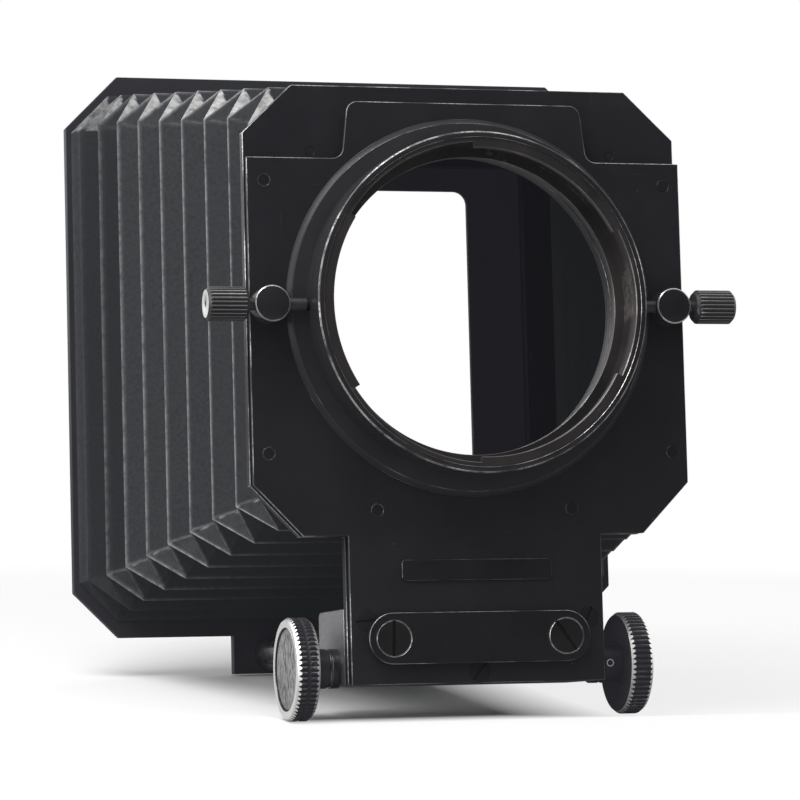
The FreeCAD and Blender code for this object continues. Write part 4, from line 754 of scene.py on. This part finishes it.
def fold_corners(fold, skin):
    """Eight corners of a fold. A wall's share is 1 where it stands out and 0 where it lies in."""
    y, side_out, top_out, flare = fold
    half = FRONT_HALF + (REAR_HALF - FRONT_HALF) * (y - FRONT_Y) / (REAR_Y - FRONT_Y) - skin
    side_half = half + SIDE_EXTRA + SIDE_FLARE * flare
    top_half = half + TOP_FLARE * flare
    corner = RIDGE_CORNER + CORNER_FLARE * flare
    across = side_half - PLEAT_DEEP * (1 - side_out)
    upright = top_half - PLEAT_DEEP * (1 - top_out)
    side_end = top_half - corner * side_out - VALLEY_CORNER * (1 - side_out) + skin / 2
    top_end = side_half - corner * top_out - VALLEY_CORNER * (1 - top_out) + skin / 2
    flat = [(across, side_end), (top_end, upright), (-top_end, upright), (-across, side_end),
            (-across, -side_end), (-top_end, -upright), (top_end, -upright), (across, -side_end)]
    depth = (y - FRONT_Y) / (REAR_Y - FRONT_Y)
    loose = (1 - flare) if y > FRONT_Y else 0.0
    rise = 1 + (TOP_RISE + TOP_RISE_MORE * depth) * loose / top_half
    return [Vector((x, y - PULL * loose * (1 - depth), z * rise if z > 0 else z)) * MM for x, z in flat]


folds = [(FRONT_Y, 1, 0, 0.0), (FIRST_RIDGE - HALF_PITCH, 0, 1, 0.0)]
folds += [(FIRST_RIDGE + index * HALF_PITCH, 1 - index % 2, index % 2, 0.0)
          for index in range(REGULAR_FOLDS)]
folds += [(folds[-1][0] + step * GATHER_PITCH, step % 2, 1 - step % 2, step / GATHERS)
          for step in range(1, GATHERS)]
folds += [(REAR_Y, 1, 1, 1.0)]


def rubbed(gap, width):
    """How pale the cloth is at a distance from a ridge, in millimetres."""
    return math.exp(-(gap / width) ** 2)


def fold_wear(strip):
    """How far back a strip of cloth is, how pale its ridges are and how wide the pale lines."""
    depth = (folds[strip][0] - FRONT_Y) / (REAR_Y - FRONT_Y)
    most = RIDGE_PALE - RIDGE_FADE * depth if strip <= REGULAR_FOLDS + 1 else HARDLY_PALE
    return depth, most, LINE_WIDTH + LINE_WIDENS * depth


def add_wall(shape, wear, strip, wall, corners, inside):
    """A flat panel of one wall between two folds, a little loose, with its ridges and ends rubbed pale."""
    a, b, c, d = corners
    depth, most, width = fold_wear(strip)
    upright = wall in (LEFT_WALL, RIGHT_WALL)
    out = 1 if upright else 2
    facing = (b - a).cross(d - a).normalized()
    rows = []
    for v in CROSS_STEPS:
        row = []
        for u in LONG_STEPS:
            spot = (a + (b - a) * u) * (1 - v) + (d + (c - d) * u) * v
            swell = math.sin(math.pi * v) * math.sin(math.pi * u)
            edge = min(1.0, min(v, 1 - v, u, 1 - u) / 0.06)
            loose = noise.noise(spot * 45.0 + Vector((3.1, 0.7, 5.2)))
            tall, gap = (d - a).length / MM, min(u, 1 - u) * (b - a).length / MM
            pale = most * max(folds[strip][out] * rubbed(v * tall, width),
                              folds[strip + 1][out] * rubbed((1 - v) * tall, width))
            if upright:
                low_down = (u if wall == LEFT_WALL else 1 - u) > 0.5
                pale = max(pale, most * rubbed(gap, width * 0.8) * (1.0 if low_down else 0.25))
            else:
                pale *= 0.06 + 0.8 * math.exp(-gap / (5 + 14 * depth))
            vert = shape.verts.new(spot + facing * (swell * SWELL + loose * WALL_LOOSE * edge) * MM)
            vert[wear] = 0.0 if inside else min(1.0, pale)
            row.append(vert)
        rows.append(row)
    for low, high in zip(rows, rows[1:]):
        for place in range(len(low) - 1):
            quad = [low[place], low[place + 1], high[place + 1], high[place]]
            shape.faces.new(quad[::-1] if inside else quad)


def add_corner_half(shape, wear, strip, start, end, apex, bright, inside):
    """Half a corner piece, in rows that run along its pale crease and close at the apex. Its bright share is
    painted light, mottled over the piece.
    """
    _, most, width = fold_wear(strip)
    facing = (end - start).cross(apex - start).normalized()
    tall = (apex - start).cross((end - start).normalized()).length / MM
    rows = []
    for s in CROSS_STEPS[:-1]:
        row = []
        for t in CREASE_STEPS:
            spot = start.lerp(end, t).lerp(apex, s)
            edge = min(1.0, s * tall / 1.5, min(t, 1 - t) / 0.15, (1 - s) / 0.3)
            cloud = noise.noise(spot * 190.0 + Vector((1.7, 4.2, 0.3))) * 0.5 + 0.5
            pale = max(most * 1.2 * rubbed(s * tall, width * 0.9), bright * min(1.0, 0.5 + cloud))
            vert = shape.verts.new(spot + facing * noise.noise(spot * 130.0) * CORNER_LOOSE * edge * MM)
            vert[wear] = 0.0 if inside else min(1.0, pale)
            row.append(vert)
        rows.append(row)
    tip = shape.verts.new(apex)
    tip[wear] = 0.0 if inside else bright
    for low, high in zip(rows, rows[1:] + [[tip] * len(CREASE_STEPS)]):
        for place in range(len(low) - 1):
            ring = list(dict.fromkeys([low[place], low[place + 1], high[place + 1], high[place]]))
            shape.faces.new(ring[::-1] if inside else ring)


def add_skin(shape, wear, skin, inside):
    """One skin of the folded cloth: four flat walls and four corners between every two folds."""
    for strip in range(len(folds) - 1):
        near, far = fold_corners(folds[strip], skin), fold_corners(folds[strip + 1], skin)
        near_lean, far_lean = [fold[1] - fold[2] for fold in folds[strip:strip + 2]]
        depth = fold_wear(strip)[0]
        for index in range(8):
            after = (index + 1) % 8
            a, b, c, d = near[index], near[after], far[after], far[index]
            if index % 2:
                add_wall(shape, wear, strip, index, (a, b, c, d), inside)
                continue
            rising = (near_lean > far_lean) == (index % 4 == 0)
            halves = ((c, a, b, 1), (a, c, d, 0)) if rising else ((d, b, c, 1), (b, d, a, 0))
            for start, end, apex, by_next in halves:
                top_side = bool(by_next) == (index % 4 == 0)
                # Painted light on the upward-facing halves of the upper corners, fading towards the rear; the
                # lower corners stay almost plain.
                bright = HARDLY_PALE
                if index < 4 and strip > REGULAR_FOLDS + 2:
                    bright = GATHER_TOP_LIGHT
                elif index < 4:
                    bright = TOP_CORNER_LIGHT - TOP_CORNER_LIGHT_FADE * depth if top_side else 0.015
                add_corner_half(shape, wear, strip, start, end, apex, bright, inside)


def folded_bellows():
    """The cloth's outer and inner skins, joined at both ends."""
    shape = bmesh.new()
    # The pale marks hold rubbing along the folds and painted light on the upper corners.
    wear = shape.verts.layers.float.new("wear")
    add_skin(shape, wear, 0.0, False)
    add_skin(shape, wear, SKIN, True)
    bmesh.ops.remove_doubles(shape, verts=shape.verts, dist=SAME_SPOT)
    middle = (FRONT_Y + REAR_Y) / 2 * MM
    open_edges = [edge for edge in shape.edges if edge.is_boundary]
    for front in (True, False):
        loops = [edge for edge in open_edges if (edge.verts[0].co.y < middle) == front]
        bmesh.ops.bridge_loops(shape, edges=loops)
    bmesh.ops.recalc_face_normals(shape, faces=shape.faces)
    mesh = mesh_from("folded_bellows", shape)
    smoothed(mesh, CLOTH_ANGLE)
    return mesh


# With a painted glow that lifts the dark cloth.
leathercloth = grained("bellows_leathercloth", (0.0150, 0.0163, 0.0192), (0.82, 0.82, 0.81), 0.6, 1300,
                       0.05 * MM, contrast=0.14, wrinkle=0.3, specular=0.2, painted_glow=0.011)
skin = fitted("folded_bellows", folded_bellows(), leathercloth, "front_standard", "bellows_skin", "bellows")
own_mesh(skin)
for node in ("bellows_front_clamp", "bellows_rear_clamp", "rear_clamp_screws"):
    refinished(node, frame_black)
refinished("front_clamp_screws", satin_black)

# ---- Studio
# A pale floor on which the knobs, the neck and the rear frame's leg stand, white round about, with a large
# soft lamp on the left, a smaller one above, and a dark screen behind the camera, which only the gloss sees.

FLOOR_SPOT, FLOOR_TILT, FLOOR_HALF = (0.0, 0.0146, -0.0992), 7.39, 3.0
CAMERA_PLACE = (-0.27809, -0.88832, -0.10599)
CAMERA_TURN = (95.1490, 1.5057, -16.1728)
LENS_LENGTH, SENSOR_WIDTH = 173.596, 36.0
FLOOR_GREY, SCREEN_GREY, SKY_STRENGTH = 0.35, 0.05, 0.45


def sheet_of(name, half_wide, half_deep, place, tilt, finish):
    mesh = bpy.data.meshes.new(name)
    corners = [(-half_wide, -half_deep, 0), (half_wide, -half_deep, 0), (half_wide, half_deep, 0),
               (-half_wide, half_deep, 0)]
    mesh.from_pydata(corners, [], [(0, 1, 2, 3)])
    mesh.materials.append(finish)
    made = placed_in_scene(name, mesh)
    made.location = place
    made.rotation_euler = [math.radians(angle) for angle in tilt]
    return made


def floor_paper():
    """Paper that looks white to the camera but is grey to everything else. Ahead and on the right it is
    painted white, which cuts the object's shadow short there, and far off it fades into the white round
    about."""
    made, tree, _ = blank_material("floor_paper")
    tree.nodes.remove(tree.nodes["Principled BSDF"])
    seen = put(tree, "LightPath")["Is Camera Ray"]
    shade = put(tree, "BsdfDiffuse", Color=blended(tree, seen, grey(FLOOR_GREY), grey(1.0)))
    place = put(tree, "TexCoord")["Object"]
    apart = put(tree, "SeparateXYZ", Vector=place)
    # Ahead and on the right, painted white that cuts the object's shadow short.
    ahead = ranged(tree, apart["Y"], -0.006, 0.005, 1.0, 0.0)
    beside = ranged(tree, apart["X"], 0.012, 0.038)
    far = put(tree, "VectorMath", {"operation": "LENGTH"}, Vector=place)["Value"]
    white = put(tree, "Emission", Color=grey(1.0), Strength=1.0)
    lit = reckoned(tree, reckoned(tree, ahead, 0.97), reckoned(tree, beside, 0.8), "MAXIMUM")
    lit = reckoned(tree, lit, ranged(tree, far, 0.2, 0.5), "MAXIMUM")
    mixed = put(tree, "MixShader", Fac=reckoned(tree, lit, seen))[0]
    plug(tree, mixed.node.inputs[1], shade[0])
    plug(tree, mixed.node.inputs[2], white[0])
    plug(tree, tree.nodes["Material Output"].inputs["Surface"], mixed)
    return made


def screen_cloth():
    made, tree, cloth = blank_material("screen_cloth")
    plug(tree, cloth["Base Color"], grey(SCREEN_GREY))
    plug(tree, cloth["Roughness"], 1.0)
    return made


sheet_of("floor", FLOOR_HALF, FLOOR_HALF, FLOOR_SPOT, (FLOOR_TILT, 0, 0), floor_paper())
screen = sheet_of("dark_screen", 1.6, 1.1, (0.55, -2.0, 0.6), (90, 0, 12), screen_cloth())
screen.visible_camera = False
screen.visible_shadow = False
screen.visible_diffuse = False


def soft_lamp(name, place, aim, size, power):
    """A square lamp that shines from its place towards its aim, and that the camera doesn't see."""
    lamp = bpy.data.lights.new(name, "AREA")
    lamp.shape, lamp.size, lamp.size_y, lamp.energy = "RECTANGLE", size, size, power
    held = placed_in_scene(name, lamp)
    held.location = place
    held.rotation_mode = "QUATERNION"
    held.rotation_quaternion = (Vector(aim) - Vector(place)).to_track_quat("-Z", "Y")
    held.visible_camera = False


soft_lamp("left_softbox", (-1.2, -0.1, 0.3), (0, 0.03, 0), size=0.9, power=6.5)
soft_lamp("top_softbox", (-0.42, -0.26, 0.66), (-0.03, 0.02, 0), size=0.5, power=5.5)

world = bpy.data.worlds.new("studio_white")
bpy.context.scene.world = world
world.use_nodes = True
air = world.node_tree
glow = air.nodes["Background"].inputs
path = put(air, "LightPath")
seen = reckoned(air, path["Is Camera Ray"], path["Is Glossy Ray"], "MAXIMUM")
seen = reckoned(air, seen, path["Is Transmission Ray"], "MAXIMUM")
plug(air, glow["Strength"], ranged(air, seen, 0.0, 1.0, SKY_STRENGTH, 1.0))
plug(air, glow["Color"], grey(1.0))

lens = bpy.data.cameras.new("studio_lens")
lens.lens, lens.sensor_width = LENS_LENGTH, SENSOR_WIDTH
lens.clip_start, lens.clip_end = 0.01, 50.0
camera = placed_in_scene("studio_camera", lens)
camera.location = CAMERA_PLACE
camera.rotation_euler = [math.radians(angle) for angle in CAMERA_TURN]
bpy.context.scene.camera = camera
bpy.context.scene.view_settings.view_transform = "Standard"
